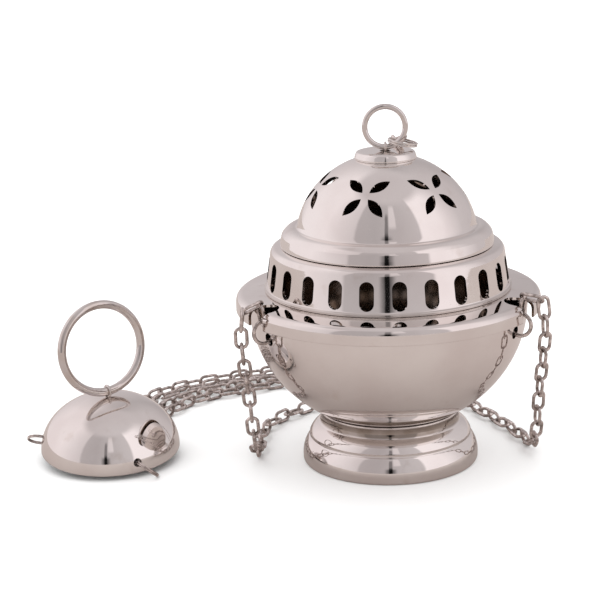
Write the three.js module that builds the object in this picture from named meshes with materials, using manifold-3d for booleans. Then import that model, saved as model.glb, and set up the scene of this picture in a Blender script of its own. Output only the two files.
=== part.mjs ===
// A hanging incense burner of nickel-plated brass, standing on a table with its chains laid behind it.
// The bowl stands on a moulded foot, the pierced lid rests on the bowl's rim, and three chains come up
// through notches in the lid's brim. A fourth chain runs from the lid. All four end at the hand cap.
// Millimetres, +Z up. While it is built, the foot's centre on the table is the origin.
import * as THREE from 'three';
import { mergeVertices } from 'three/addons/utils/BufferGeometryUtils.js';
import Module from 'manifold-3d';

const wasm = await Module();
wasm.setup();

// The gap left between pieces that touch on the real object
const CLEARANCE = 0.3;

// Foot, spun from sheet
const FOOT_SHEET = 1.5;
const FOOT_LIP_RADIUS = 39.6;
const FOOT_LIP_HEIGHT = 3;
const FOOT_LOWER_MOULDING_RADIUS = 39.6;
const FOOT_LOWER_MOULDING_HEIGHT = 8.2;
const FOOT_GROOVE_RADIUS = 36.3;
const FOOT_GROOVE_HEIGHT = 1.8;
const FOOT_UPPER_MOULDING_RADIUS = 36.6;
const FOOT_UPPER_MOULDING_HEIGHT = 3.9;
const FOOT_COVE_HEIGHT = 4.3;
const FOOT_NECK_RADIUS = 30.9;
const FOOT_BEAD_HEIGHT = 2.4;
const FOOT_BASE_LIP_WIDTH = 4;

// The brim's size drives the bowl below it and the lid's steps above it
const BRIM_RADIUS = 67.8;
const BRIM_OVERHANG = 5.8;
const BRIM_SHELF = 13.7;

// Bowl, a deep half ellipsoid
const BOWL_RADIUS = BRIM_RADIUS - BRIM_OVERHANG;
const BOWL_DEPTH = 56.9;
const BOWL_RIM_RISE = 4.6;
const BOWL_WALL = 1.4;

// Charcoal pan that rests in the bowl
const PAN_GAP = 6.6;
const PAN_FLANGE_RADIUS = BOWL_RADIUS - BOWL_WALL - PAN_GAP;
const PAN_FLANGE_WIDTH = 7;
const PAN_DEPTH = 15;
const PAN_SHEET = 1.2;
const PAN_SLANT = 10;

// Lid: brim with a turned-down band, slotted drum, stepped and pierced dome, collar
const LID_SHEET = 1.1;
const BRIM_SLOPE = 0.11;
const BRIM_EDGE_ROUND = 5.4;
const BAND_DROP = 7.3;
const DRUM_RADIUS = BRIM_RADIUS - BRIM_SHELF;
const DRUM_HEIGHT = 19.5;
const DRUM_TAPER = 2.3;
const DRUM_SHOULDER = 2.5;
const DRUM_BEAD_RADIUS = 1;
const SLOT_COUNT = 24;
const SLOT_WIDTH = 6.3;
const SLOT_HEIGHT = 12.4;
const SLOT_SILL = 0.5;
const SLOT_TURN = 2.5;
const DRUM_SHELF = 6.6;
const STEP_RADIUS = DRUM_RADIUS - DRUM_SHELF;
const STEP_BAND_HEIGHT = 4.5;
const STEP_LEAN = 0.9;
const STEP_ROUND_HEIGHT = 3.3;
const STEP_SHELF = 7.2;
const DOME_RADIUS = STEP_RADIUS - STEP_SHELF;
const DOME_RISE = 38;
const DOME_SKIRT = 6.5;
const FLOWER_COUNT = 6;
const FLOWER_RISE = 26.4;
const FLOWER_TURN = 20;
const PETAL_LENGTH = 9.2;
const PETAL_WIDTH = 3.9;
const PETAL_REACH = 7;
const PETALS = 4;
const COLLAR_RADIUS = 13.7;
const COLLAR_TOP_RADIUS = 11.9;
const COLLAR_THICKNESS = 1.44;
const COLLAR_HOLE_RADIUS = 3.4;

// Eye pins: a wire loop with a split shank bent out under the sheet
const EYE_WIRE = 1.2;
const EYE_PLAY = 0.6;
const EYE_LEG_LENGTH = 5;

// Rings
const LID_RING_DIAMETER = 20.2;
const LID_RING_WIRE = 2.5;
const SPLIT_RING_DIAMETER = 13.4;
const SPLIT_RING_WIRE = 1.7;
const SPLIT_RING_DROP = 7.1;
const SPLIT_RING_TILT = 11;
const HAND_RING_DIAMETER = 44;
const HAND_RING_WIRE = 3.9;
const BOWL_RING_DIAMETER = 11.8;
const BOWL_RING_WIRE = 1.8;
const BOWL_RING_LEVEL = 8.7;
const BOWL_RING_OVERHANG = 2.35;
const BOWL_HOLE_DIAMETER = 5.8;
const CAP_RING_DIAMETER = 12;
const CAP_RING_WIRE = 1.2;
const CAP_RING_OVERHANG = 2.9;

// Chain
const LINK_LENGTH = 11.5;
const LINK_WIDTH = 6.4;
const LINK_WIRE = 1.55;
const LINK_BITE = 0.15;
const CHAIN_LAID_HEIGHT = 5.2;
const CHAIN_SPACING = 7.5;
const NOTCH_WIDTH = 8.5;
const NOTCH_REACH = 6.85;
const CHAIN_AZIMUTHS = { left: 210, right: 330, back: 90 };
const LID_CHAIN_AZIMUTH = 76;

// Hand cap
const CAP_RADIUS = 31.7;
const CAP_HEIGHT = 25;
const CAP_SHEET = 1.2;
const CAP_PLACE = [-128.3, 8];
const CAP_TILT = 6.1;
const CAP_TILT_AZIMUTH = 98;
const CAP_LIFT = 2.3;
const CAP_HOLE_RADIUS = 1.9;
const PIN_HOLE_RADIUS = 1.3;
const CAP_HOLE_HEIGHT = 4.6;
const CAP_RING_AZIMUTHS = { front: -62, left: 178, back: 58 };
const HAND_RING_LEAN = -2.2;
const HAND_RING_BACK = 5.6;
const HAND_RING_TURN = 34;

// Facets
const ROUND = 48;

// Colours
const NICKEL = new THREE.MeshStandardMaterial({ color: 0xcfc8c4, roughness: 0.12, metalness: 1 });
const CHAIN_NICKEL = new THREE.MeshStandardMaterial({ color: 0xb9b2aa, roughness: 0.28, metalness: 1 });
const PAN_STEEL = new THREE.MeshStandardMaterial({ color: 0x4a3b30, roughness: 0.6, metalness: 0.8 });

const radians = THREE.MathUtils.degToRad;

function direction(azimuth) {
  return [Math.cos(radians(azimuth)), Math.sin(radians(azimuth))];
}

// Geometry helpers: a closed mesh with shared corners, and joins and cuts of such meshes

function closed(geometry) {
  geometry.deleteAttribute('normal');
  geometry.deleteAttribute('uv');
  const merged = mergeVertices(geometry, 1e-4);
  const corners = merged.index.array;
  const kept = [];
  for (let i = 0; i < corners.length; i += 3) {
    const [a, b, c] = corners.slice(i, i + 3);
    if (a !== b && b !== c && c !== a) {
      kept.push(a, b, c);
    }
  }
  merged.setIndex(kept);
  return volume(merged) < 0 ? flipped(merged) : merged;
}

function volume(geometry) {
  const place = geometry.attributes.position;
  const [a, b, c] = [new THREE.Vector3(), new THREE.Vector3(), new THREE.Vector3()];
  let sum = 0;
  for (let i = 0; i < geometry.index.count; i += 3) {
    a.fromBufferAttribute(place, geometry.index.getX(i));
    b.fromBufferAttribute(place, geometry.index.getX(i + 1));
    c.fromBufferAttribute(place, geometry.index.getX(i + 2));
    sum += a.dot(b.cross(c)) / 6;
  }
  return sum;
}

function flipped(geometry) {
  const corners = Array.from(geometry.index.array);
  for (let i = 0; i < corners.length; i += 3) {
    [corners[i], corners[i + 1]] = [corners[i + 1], corners[i]];
  }
  geometry.setIndex(corners);
  return geometry;
}

function solid(geometry) {
  const clean = closed(geometry);
  return new wasm.Manifold(new wasm.Mesh({
    numProp: 3,
    vertProperties: new Float32Array(clean.attributes.position.array),
    triVerts: new Uint32Array(clean.index.array),
  }));
}

function surface(body) {
  const mesh = body.getMesh();
  const geometry = new THREE.BufferGeometry();
  geometry.setAttribute('position', new THREE.BufferAttribute(new Float32Array(mesh.vertProperties), 3));
  geometry.setIndex(Array.from(mesh.triVerts));
  return geometry;
}

function joined(geometries) {
  return surface(geometries.map(solid).reduce((sum, next) => sum.add(next)));
}

function cut(geometry, cutters) {
  return surface(cutters.map(solid).reduce((rest, cutter) => rest.subtract(cutter), solid(geometry)));
}

// Shapes

// Points of a shallow arc from one [radius, height] to another, bulging to its right by sagitta
function bow(from, to, sagitta, steps = 3) {
  const [dr, dz] = [to[0] - from[0], to[1] - from[1]];
  const length = Math.hypot(dr, dz);
  const points = [];
  for (let i = 0; i <= steps; i += 1) {
    const t = i / steps;
    const out = sagitta * 4 * t * (1 - t);
    points.push([from[0] + dr * t + (dz / length) * out, from[1] + dz * t - (dr / length) * out]);
  }
  return points;
}

// Points of an ellipse's arc about [0, centre], from one angle to another in degrees above level
function ellipse(radius, rise, centre, fromAngle, toAngle, steps) {
  const points = [];
  for (let i = 0; i <= steps; i += 1) {
    const angle = radians(fromAngle + ((toAngle - fromAngle) * i) / steps);
    points.push([Math.max(0, radius * Math.cos(angle)), centre + rise * Math.sin(angle)]);
  }
  return points;
}

// A body turned about Z from a profile that starts and ends on the axis or closes on itself
function turned(profile, segments = ROUND) {
  const onAxis = (point) => point[0] < 1e-9;
  const open = onAxis(profile[0]) && onAxis(profile.at(-1));
  const ring = open ? profile : [...profile, profile[0]];
  const points = ring.map(([radius, height]) => new THREE.Vector2(radius, height));
  return new THREE.LatheGeometry(points, segments).rotateX(Math.PI / 2);
}

function wireRing(diameter, wire, segments = 24, sides = 8) {
  return new THREE.TorusGeometry((diameter - wire) / 2, wire / 2, sides, segments);
}

// A round bar between two points
function bar(from, to, radius, sides = 8) {
  const [a, b] = [new THREE.Vector3(...from), new THREE.Vector3(...to)];
  const along = b.clone().sub(a);
  const upright = new THREE.Vector3(0, 1, 0);
  const turn = new THREE.Quaternion().setFromUnitVectors(upright, along.clone().normalize());
  const cylinder = new THREE.CylinderGeometry(radius, radius, along.length(), sides);
  return cylinder.applyQuaternion(turn).translate(...a.lerp(b, 0.5).toArray());
}

// A plain tube along a route's points
function tube(points, diameter, steps, sides = 8) {
  const section = new THREE.Shape();
  for (let i = 0; i < sides; i += 1) {
    const angle = (2 * Math.PI * (i + 0.5)) / sides;
    const corner = [(diameter / 2) * Math.cos(angle), (diameter / 2) * Math.sin(angle)];
    if (i === 0) {
      section.moveTo(...corner);
    } else {
      section.lineTo(...corner);
    }
  }
  section.closePath();
  const extrudePath = new THREE.CatmullRomCurve3(points, false, 'centripetal');
  return new THREE.ExtrudeGeometry(section, { steps, extrudePath });
}

// Chain links: an oval of wire in a plane, with one corner of its section towards the oval's middle
const LINK_HALF = (LINK_LENGTH - LINK_WIRE) / 2;
const LINK_REACH = LINK_HALF - LINK_WIRE + LINK_BITE;

function link(centre, along, across, sides, arcSteps) {
  const bend = (LINK_WIDTH - LINK_WIRE) / 2;
  const straight = LINK_HALF - bend;
  const oval = [];
  for (const end of [1, -1]) {
    for (let i = 0; i <= arcSteps; i += 1) {
      const angle = ((i / arcSteps) - 0.5) * Math.PI + (end < 0 ? Math.PI : 0);
      oval.push([end * straight + bend * Math.cos(angle), bend * Math.sin(angle), angle]);
    }
  }
  const normal = new THREE.Vector3().crossVectors(along, across);
  const positions = [];
  const corners = [];
  for (const [x, y, angle] of oval) {
    for (let k = 0; k < sides; k += 1) {
      const turn = Math.PI + (2 * Math.PI * k) / sides;
      const out = (LINK_WIRE / 2) * Math.cos(turn);
      const up = (LINK_WIRE / 2) * Math.sin(turn);
      const point = centre.clone();
      point.addScaledVector(along, x + out * Math.cos(angle));
      point.addScaledVector(across, y + out * Math.sin(angle));
      point.addScaledVector(normal, up);
      positions.push(...point.toArray());
    }
  }
  const count = oval.length;
  for (let i = 0; i < count; i += 1) {
    for (let k = 0; k < sides; k += 1) {
      const [a, b] = [i * sides + k, i * sides + ((k + 1) % sides)];
      const [c, d] = [((i + 1) % count) * sides + k, ((i + 1) % count) * sides + ((k + 1) % sides)];
      corners.push(a, c, b, b, c, d);
    }
  }
  const geometry = new THREE.BufferGeometry();
  geometry.setAttribute('position', new THREE.Float32BufferAttribute(positions, 3));
  geometry.setIndex(corners);
  return geometry;
}

const laid = CHAIN_LAID_HEIGHT / 2 + 0.2;

// A route as close-set points, none lower than a chain on the table
function route(points) {
  const curve = new THREE.CatmullRomCurve3(points.map((p) => new THREE.Vector3(...p)), false, 'centripetal');
  const spaced = curve.getSpacedPoints(400);
  spaced.forEach((point) => point.setZ(Math.max(point.z, laid + 0.3)));
  return spaced;
}

function routeLength(points) {
  return points.slice(1).reduce((sum, point, i) => sum + point.distanceTo(points[i]), 0);
}

// Lays links along a route from its start until it ends or count is reached. Each link hooks the last.
// The links' rolls are taken about the route, from a level reference that turns with it.
function layLinks(points, count, { roll = 45, sides = 4, arcSteps = 3, level, first = [] } = {}) {
  const links = [];
  let centre;
  let along;
  for (const [place, heading, across] of first) {
    centre = new THREE.Vector3(...place);
    along = new THREE.Vector3(...heading).normalize();
    links.push(link(centre, along, new THREE.Vector3(...across).normalize(), sides, arcSteps));
  }
  let reference = new THREE.Vector3(...level);
  let cursor = 0;
  if (!centre) {
    along = points[1].clone().sub(points[0]).normalize();
    centre = points[0].clone().addScaledVector(along, -LINK_HALF + LINK_WIRE);
  }
  const stride = LINK_HALF + LINK_REACH;
  for (let n = 0; n < count; n += 1) {
    const hook = centre.clone().addScaledVector(along, LINK_HALF);
    while (cursor < points.length - 1 && points[cursor].distanceTo(hook) < stride) {
      cursor += 1;
    }
    if (points[cursor].distanceTo(hook) < stride * 0.98) {
      break;
    }
    const next = points[cursor].clone().sub(hook).normalize();
    reference = reference.clone().applyQuaternion(new THREE.Quaternion().setFromUnitVectors(along, next));
    reference.addScaledVector(next, -reference.dot(next)).normalize();
    along = next;
    centre = hook.addScaledVector(along, LINK_REACH);
    const side = new THREE.Vector3().crossVectors(along, reference);
    const lean = radians(n % 2 === 0 ? roll : roll - 90);
    const across = reference.clone().multiplyScalar(Math.cos(lean)).addScaledVector(side, Math.sin(lean));
    links.push(link(centre, along, across, sides, arcSteps));
  }
  const flat = ((LINK_WIDTH - LINK_WIRE) / 2) * (1 - Math.cos(Math.PI / 2 / arcSteps));
  const tip = LINK_HALF + LINK_WIRE / 2 - flat;
  return { links, end: centre.clone().addScaledVector(along, tip), cursor };
}

// Levels and seats worked out from the sizes above

const footMouldings = FOOT_LOWER_MOULDING_HEIGHT + FOOT_GROOVE_HEIGHT + FOOT_UPPER_MOULDING_HEIGHT;
const footHeight = FOOT_LIP_HEIGHT + footMouldings + FOOT_COVE_HEIGHT + FOOT_BEAD_HEIGHT;
const bowlSeatRadius = FOOT_NECK_RADIUS - 2 * CLEARANCE;
const bowlWidest = footHeight + BOWL_DEPTH * Math.sqrt(1 - (bowlSeatRadius / BOWL_RADIUS) ** 2);
const bowlRim = bowlWidest + BOWL_RIM_RISE;
const lidSeat = bowlRim + CLEARANCE;
const brimInnerRadius = DRUM_RADIUS - 1.5 * LID_SHEET;

function brimTop(radius) {
  return lidSeat + LID_SHEET + BRIM_SLOPE * (BOWL_RADIUS - radius);
}

const drumBase = brimTop(DRUM_RADIUS - LID_SHEET) + CLEARANCE;
const drumTop = drumBase + DRUM_HEIGHT;
const domeBase = drumTop + CLEARANCE;
const domeCentre = domeBase + STEP_BAND_HEIGHT + STEP_ROUND_HEIGHT - DOME_SKIRT;

function domeHeight(radius) {
  return domeCentre + DOME_RISE * Math.sqrt(1 - (radius / DOME_RADIUS) ** 2);
}

const collarBase = domeHeight(0) + CLEARANCE;
const collarTop = domeHeight(0) + COLLAR_THICKNESS;
const lidRingAxis = collarTop + CLEARANCE + LID_RING_WIRE / 2;
const lidRingCentre = lidRingAxis + (LID_RING_DIAMETER - LID_RING_WIRE) / 2;

function foot() {
  const lipTop = FOOT_LIP_HEIGHT;
  const lowerTop = lipTop + FOOT_LOWER_MOULDING_HEIGHT;
  const grooveTop = lowerTop + FOOT_GROOVE_HEIGHT;
  const upperTop = grooveTop + FOOT_UPPER_MOULDING_HEIGHT;
  const coveTop = upperTop + FOOT_COVE_HEIGHT;
  const edge = 1.2;
  return turned([
    [FOOT_LIP_RADIUS - edge, 0],
    [FOOT_LIP_RADIUS, edge],
    ...bow([FOOT_LOWER_MOULDING_RADIUS, lipTop], [FOOT_GROOVE_RADIUS + 0.6, lowerTop], 0.7, 3),
    [FOOT_GROOVE_RADIUS, lowerTop + 0.5],
    [FOOT_GROOVE_RADIUS, grooveTop - 0.4],
    ...bow([FOOT_UPPER_MOULDING_RADIUS, grooveTop], [FOOT_NECK_RADIUS + 2.2, upperTop], 1.1, 3),
    ...bow([FOOT_NECK_RADIUS + 0.8, upperTop + 0.3], [FOOT_NECK_RADIUS, coveTop], -0.2, 2),
    ...bow([FOOT_NECK_RADIUS + 0.3, coveTop + 0.2], [FOOT_NECK_RADIUS, footHeight], 0.6, 2),
    [FOOT_NECK_RADIUS - FOOT_SHEET, footHeight - 1.3],
    [FOOT_NECK_RADIUS - FOOT_SHEET, upperTop],
    [FOOT_GROOVE_RADIUS - FOOT_SHEET, lowerTop],
    [FOOT_LIP_RADIUS - FOOT_SHEET - 0.4, FOOT_SHEET],
    [FOOT_LIP_RADIUS - FOOT_BASE_LIP_WIDTH - edge, FOOT_SHEET],
    [FOOT_LIP_RADIUS - FOOT_BASE_LIP_WIDTH - edge, 0],
  ], 36);
}

// Where a bowl ring's wire passes the bowl's wall: through a hole, and over a cut in the rim
const ringMid = (BOWL_RING_DIAMETER - BOWL_RING_WIRE) / 2;
const ringHalf = Math.sqrt(ringMid ** 2 - BOWL_RING_OVERHANG ** 2);
const ringCentreRadius = BOWL_RADIUS - BOWL_WALL / 2 + BOWL_RING_OVERHANG;
const ringCentreLevel = bowlRim - BOWL_RING_LEVEL;
const ringHoleLevel = ringCentreLevel - ringHalf + 2 * CLEARANCE;
const ringCutLevel = ringCentreLevel + ringHalf - BOWL_RING_WIRE - 3 * CLEARANCE;

function bowl() {
  const inner = [BOWL_RADIUS - BOWL_WALL, BOWL_DEPTH - BOWL_WALL];
  const rimAngle = THREE.MathUtils.radToDeg(Math.asin(BOWL_RIM_RISE / BOWL_DEPTH));
  const innerRimAngle = THREE.MathUtils.radToDeg(Math.asin(BOWL_RIM_RISE / inner[1]));
  const shell = turned([
    ...ellipse(BOWL_RADIUS, BOWL_DEPTH, bowlWidest, -90, 0, 8),
    ellipse(BOWL_RADIUS, BOWL_DEPTH, bowlWidest, rimAngle, rimAngle, 1)[0],
    ellipse(...inner, bowlWidest, innerRimAngle, innerRimAngle, 1)[0],
    ...ellipse(...inner, bowlWidest, 0, -90, 6),
  ], 36);
  const cutters = [];
  for (const azimuth of Object.values(CHAIN_AZIMUTHS)) {
    const reach = [BOWL_RADIUS - 6, BOWL_RADIUS + 6];
    const hole = bar(
      [reach[0], 0, ringHoleLevel],
      [reach[1], 0, ringHoleLevel],
      BOWL_HOLE_DIAMETER / 2,
      12,
    );
    const depth = bowlRim + 5 - ringCutLevel;
    const notch = new THREE.BoxGeometry(reach[1] - reach[0], NOTCH_WIDTH - 1, depth);
    notch.translate(BOWL_RADIUS, 0, ringCutLevel + depth / 2);
    cutters.push(hole.rotateZ(radians(azimuth)), notch.rotateZ(radians(azimuth)));
  }
  return cut(shell, cutters);
}

function panSeatLevel() {
  const inner = [BOWL_RADIUS - BOWL_WALL, BOWL_DEPTH - BOWL_WALL];
  const touch = (PAN_FLANGE_RADIUS + 4 * CLEARANCE) / inner[0];
  return bowlWidest - inner[1] * Math.sqrt(1 - touch ** 2);
}

function charcoalPan() {
  const seat = panSeatLevel();
  const wallRadius = PAN_FLANGE_RADIUS - PAN_FLANGE_WIDTH;
  const floorRadius = wallRadius - PAN_SLANT;
  return turned([
    [0, seat - PAN_DEPTH],
    [floorRadius - 2, seat - PAN_DEPTH],
    [floorRadius, seat - PAN_DEPTH + 1.5],
    [wallRadius, seat],
    [PAN_FLANGE_RADIUS, seat],
    [PAN_FLANGE_RADIUS, seat + PAN_SHEET],
    [wallRadius - PAN_SHEET, seat + PAN_SHEET],
    [floorRadius - PAN_SHEET, seat - PAN_DEPTH + 1.5 + PAN_SHEET],
    [floorRadius - 2 - PAN_SHEET, seat - PAN_DEPTH + PAN_SHEET],
    [0, seat - PAN_DEPTH + PAN_SHEET],
  ], 30);
}

function brim() {
  const bandInner = BRIM_RADIUS - LID_SHEET;
  const bandFoot = brimTop(BRIM_RADIUS) - BAND_DROP;
  const under = (radius) => brimTop(radius) - LID_SHEET;
  const shell = turned([
    [brimInnerRadius, under(brimInnerRadius)],
    [bandInner - BRIM_EDGE_ROUND * 0.8, under(bandInner - BRIM_EDGE_ROUND * 0.8)],
    [bandInner - BRIM_EDGE_ROUND * 0.28, under(bandInner) - BRIM_EDGE_ROUND * 0.22],
    [bandInner, under(bandInner) - BRIM_EDGE_ROUND * 0.8],
    [bandInner, bandFoot],
    [BRIM_RADIUS, bandFoot],
    [BRIM_RADIUS, brimTop(BRIM_RADIUS) - BRIM_EDGE_ROUND * 0.9],
    [BRIM_RADIUS - BRIM_EDGE_ROUND * 0.11, brimTop(BRIM_RADIUS) - BRIM_EDGE_ROUND * 0.4],
    [BRIM_RADIUS - BRIM_EDGE_ROUND * 0.42, brimTop(BRIM_RADIUS) - BRIM_EDGE_ROUND * 0.08],
    [BRIM_RADIUS - BRIM_EDGE_ROUND, brimTop(BRIM_RADIUS - BRIM_EDGE_ROUND)],
    [brimInnerRadius, brimTop(brimInnerRadius)],
  ], 42);
  const cutters = [];
  for (const azimuth of Object.values(CHAIN_AZIMUTHS)) {
    const from = ringCentreRadius - NOTCH_REACH + NOTCH_WIDTH / 2;
    const depth = BRIM_RADIUS - from + NOTCH_WIDTH / 2;
    const height = 4 * BAND_DROP;
    const slot = new THREE.BoxGeometry(depth, NOTCH_WIDTH, height);
    slot.translate(from + depth / 2, 0, lidSeat);
    const end = bar([from, 0, lidSeat - height / 2], [from, 0, lidSeat + height / 2], NOTCH_WIDTH / 2, 20);
    cutters.push(surface(solid(slot).add(solid(end))).rotateZ(radians(azimuth)));
  }
  return cut(shell, cutters);
}

function drum() {
  const wall = LID_SHEET;
  const shoulderFrom = drumTop - DRUM_SHOULDER;
  const topRadius = DRUM_RADIUS - DRUM_TAPER;
  const landRadius = STEP_RADIUS - 1.5;
  const facets = 2 * SLOT_COUNT;
  const shell = turned([
    [DRUM_RADIUS - wall, drumBase],
    [DRUM_RADIUS + DRUM_BEAD_RADIUS * 0.7, drumBase],
    [DRUM_RADIUS + DRUM_BEAD_RADIUS, drumBase + DRUM_BEAD_RADIUS * 0.7],
    [DRUM_RADIUS, drumBase + DRUM_BEAD_RADIUS * 1.4],
    [topRadius, shoulderFrom],
    [topRadius - 1.2, shoulderFrom + DRUM_SHOULDER * 0.65],
    [landRadius, drumTop],
    [landRadius - 3, drumTop],
    [landRadius - 3, drumTop - wall],
    [topRadius - wall - 0.6, shoulderFrom],
  ], facets).rotateZ(radians(SLOT_TURN - 180 / facets));
  const cutters = [];
  const sill = drumBase + DRUM_BEAD_RADIUS * 1.4 + SLOT_SILL;
  for (let i = 0; i < SLOT_COUNT; i += 1) {
    const outline = new THREE.Shape();
    const half = SLOT_WIDTH / 2;
    const straight = SLOT_HEIGHT / 2 - half;
    outline.absarc(straight, 0, half, -Math.PI / 2, Math.PI / 2, false);
    outline.absarc(-straight, 0, half, Math.PI / 2, (3 * Math.PI) / 2, false);
    outline.closePath();
    const pin = new THREE.ExtrudeGeometry(outline, { depth: 12, bevelEnabled: false, curveSegments: 2 });
    pin.translate(0, 0, DRUM_RADIUS - 8);
    pin.rotateY(Math.PI / 2);
    pin.translate(0, 0, sill + SLOT_HEIGHT / 2);
    cutters.push(pin.rotateZ(radians(-90 + SLOT_TURN + (360 * i) / SLOT_COUNT)));
  }
  return cut(shell, cutters);
}

function petal() {
  const half = PETAL_LENGTH / 2;
  const swell = PETAL_WIDTH / 2;
  const outline = new THREE.Shape();
  outline.moveTo(-half, 0);
  outline.quadraticCurveTo(0, -2 * swell, half, 0);
  outline.quadraticCurveTo(0, 2 * swell, -half, 0);
  return new THREE.ExtrudeGeometry(outline, { depth: 10, bevelEnabled: false, curveSegments: 3 });
}

function dome() {
  const sheet = LID_SHEET;
  const bandTop = domeBase + STEP_BAND_HEIGHT;
  const stepTop = bandTop + STEP_ROUND_HEIGHT;
  const skirtAngle = THREE.MathUtils.radToDeg(Math.asin((stepTop - domeCentre) / DOME_RISE));
  const stepInner = DOME_RADIUS * Math.cos(radians(skirtAngle));
  const inner = [DOME_RADIUS - sheet, DOME_RISE - sheet];
  const shell = turned([
    [STEP_RADIUS - sheet, domeBase],
    [STEP_RADIUS, domeBase],
    ...bow([STEP_RADIUS - STEP_LEAN, bandTop], [stepInner + 0.8, stepTop], 1, 3),
    ...ellipse(DOME_RADIUS, DOME_RISE, domeCentre, skirtAngle, 90, 7).slice(0, -1),
    [PIN_HOLE_RADIUS, domeHeight(0)],
    [PIN_HOLE_RADIUS, domeHeight(0) - sheet],
    ...ellipse(...inner, domeCentre, 90, skirtAngle, 5).slice(1),
    ...bow(
      [stepInner - sheet + 0.9, stepTop - sheet],
      [STEP_RADIUS - sheet - STEP_LEAN, bandTop - 0.5],
      -0.8,
      2,
    ),
  ], 28);
  const level = domeBase + FLOWER_RISE;
  const rise = (level - domeCentre) / DOME_RISE;
  const radius = DOME_RADIUS * Math.sqrt(1 - rise ** 2);
  const lean = Math.atan2(DOME_RADIUS * rise, DOME_RISE * Math.sqrt(1 - rise ** 2));
  const cutters = [];
  for (let flower = 0; flower < FLOWER_COUNT; flower += 1) {
    for (let k = 0; k < PETALS; k += 1) {
      const leaf = petal().translate(PETAL_REACH, 0, -5);
      leaf.rotateZ(radians(45 + (360 * k) / PETALS));
      leaf.rotateY(Math.PI / 2 - lean);
      leaf.translate(radius, 0, level);
      cutters.push(leaf.rotateZ(radians(-90 - FLOWER_TURN + (360 * flower) / FLOWER_COUNT)));
    }
  }
  return cut(shell, cutters);
}

function collar() {
  const rimLevel = domeHeight(COLLAR_RADIUS) + CLEARANCE;
  return turned([
    [COLLAR_HOLE_RADIUS, collarBase],
    [COLLAR_RADIUS * 0.55, domeHeight(COLLAR_RADIUS * 0.55) + CLEARANCE],
    [COLLAR_RADIUS - 0.6, rimLevel + 0.2],
    [COLLAR_RADIUS, rimLevel + 0.7],
    [COLLAR_RADIUS - 0.5, rimLevel + 2.2],
    [COLLAR_TOP_RADIUS + 0.4, collarTop - 0.3],
    [COLLAR_TOP_RADIUS - 0.4, collarTop],
    [COLLAR_HOLE_RADIUS, collarTop],
  ], 24);
}

// How far an eye pin's legs bend down below a dome: twice the dome's own fall there, clear of its facets
function legDrop(radius, rise) {
  return 2 * rise * (1 - Math.sqrt(1 - (EYE_LEG_LENGTH / radius) ** 2));
}

// The loop stands in the plane across the ring that it holds, and the shank goes down through the sheet
function eyePin(loopRadius, shankFoot, drop) {
  const wire = EYE_WIRE / 2;
  const loop = wireRing(2 * (loopRadius + wire), EYE_WIRE, 16, 6).rotateY(Math.PI / 2);
  const shankTop = -loopRadius;
  const shank = bar([0, 0, shankTop], [0, 0, shankFoot], wire * 1.5);
  const legs = [1, -1].map((side) => bar(
    [0, 0, shankFoot + wire],
    [side * EYE_LEG_LENGTH, 0, shankFoot + wire - drop],
    wire,
    6,
  ));
  return joined([loop, shank, ...legs]);
}

const lidEyeRadius = LID_RING_WIRE / 2 + EYE_PLAY + EYE_WIRE / 2;
const handEyeRadius = HAND_RING_WIRE / 2 + EYE_PLAY + EYE_WIRE / 2;
const handHoleRadius = handEyeRadius + EYE_WIRE / 2 - CLEARANCE;

// A bowl ring stands across the wall, in the upright plane of its chain
function bowlRing(azimuth) {
  const ring = wireRing(BOWL_RING_DIAMETER, BOWL_RING_WIRE, 20, 6).rotateX(Math.PI / 2);
  ring.translate(ringCentreRadius, 0, ringCentreLevel);
  return ring.rotateZ(radians(azimuth));
}

// The chains' first two links: one stands in the notch on the bowl ring, one lies out over the band
function notchLinks(azimuth) {
  const [x, y] = direction(azimuth);
  const ringTop = ringCentreLevel + ringMid;
  const standing = ringTop - BOWL_RING_WIRE / 2 - 1.6 * CLEARANCE - LINK_WIRE / 2 + LINK_HALF;
  const topWire = standing + LINK_HALF;
  const slope = radians(-16);
  const heading = [x * Math.cos(slope), y * Math.cos(slope), Math.sin(slope)];
  const lying = [0, 1, 2].map((k) => [x * ringCentreRadius, y * ringCentreRadius, topWire][k]
    + heading[k] * LINK_REACH);
  const tip = [-x * Math.sin(slope), -y * Math.sin(slope), Math.cos(slope)];
  const sideways = [-y, x, 0];
  const leaning = tip.map((v, k) => v * Math.cos(radians(25)) + sideways[k] * Math.sin(radians(25)));
  return [
    [[x * ringCentreRadius, y * ringCentreRadius, standing], [0, 0, 1], sideways],
    [lying, heading, leaning],
  ];
}

function notchEnd(azimuth) {
  const [[, ], [place, heading]] = notchLinks(azimuth);
  return place.map((v, k) => v + heading[k] * LINK_HALF);
}

// A point beside the brim: this far out from its edge, at this height
function beside(azimuth, out, height) {
  const [x, y] = direction(azimuth);
  return [x * (BRIM_RADIUS + out), y * (BRIM_RADIUS + out), height];
}

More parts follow.
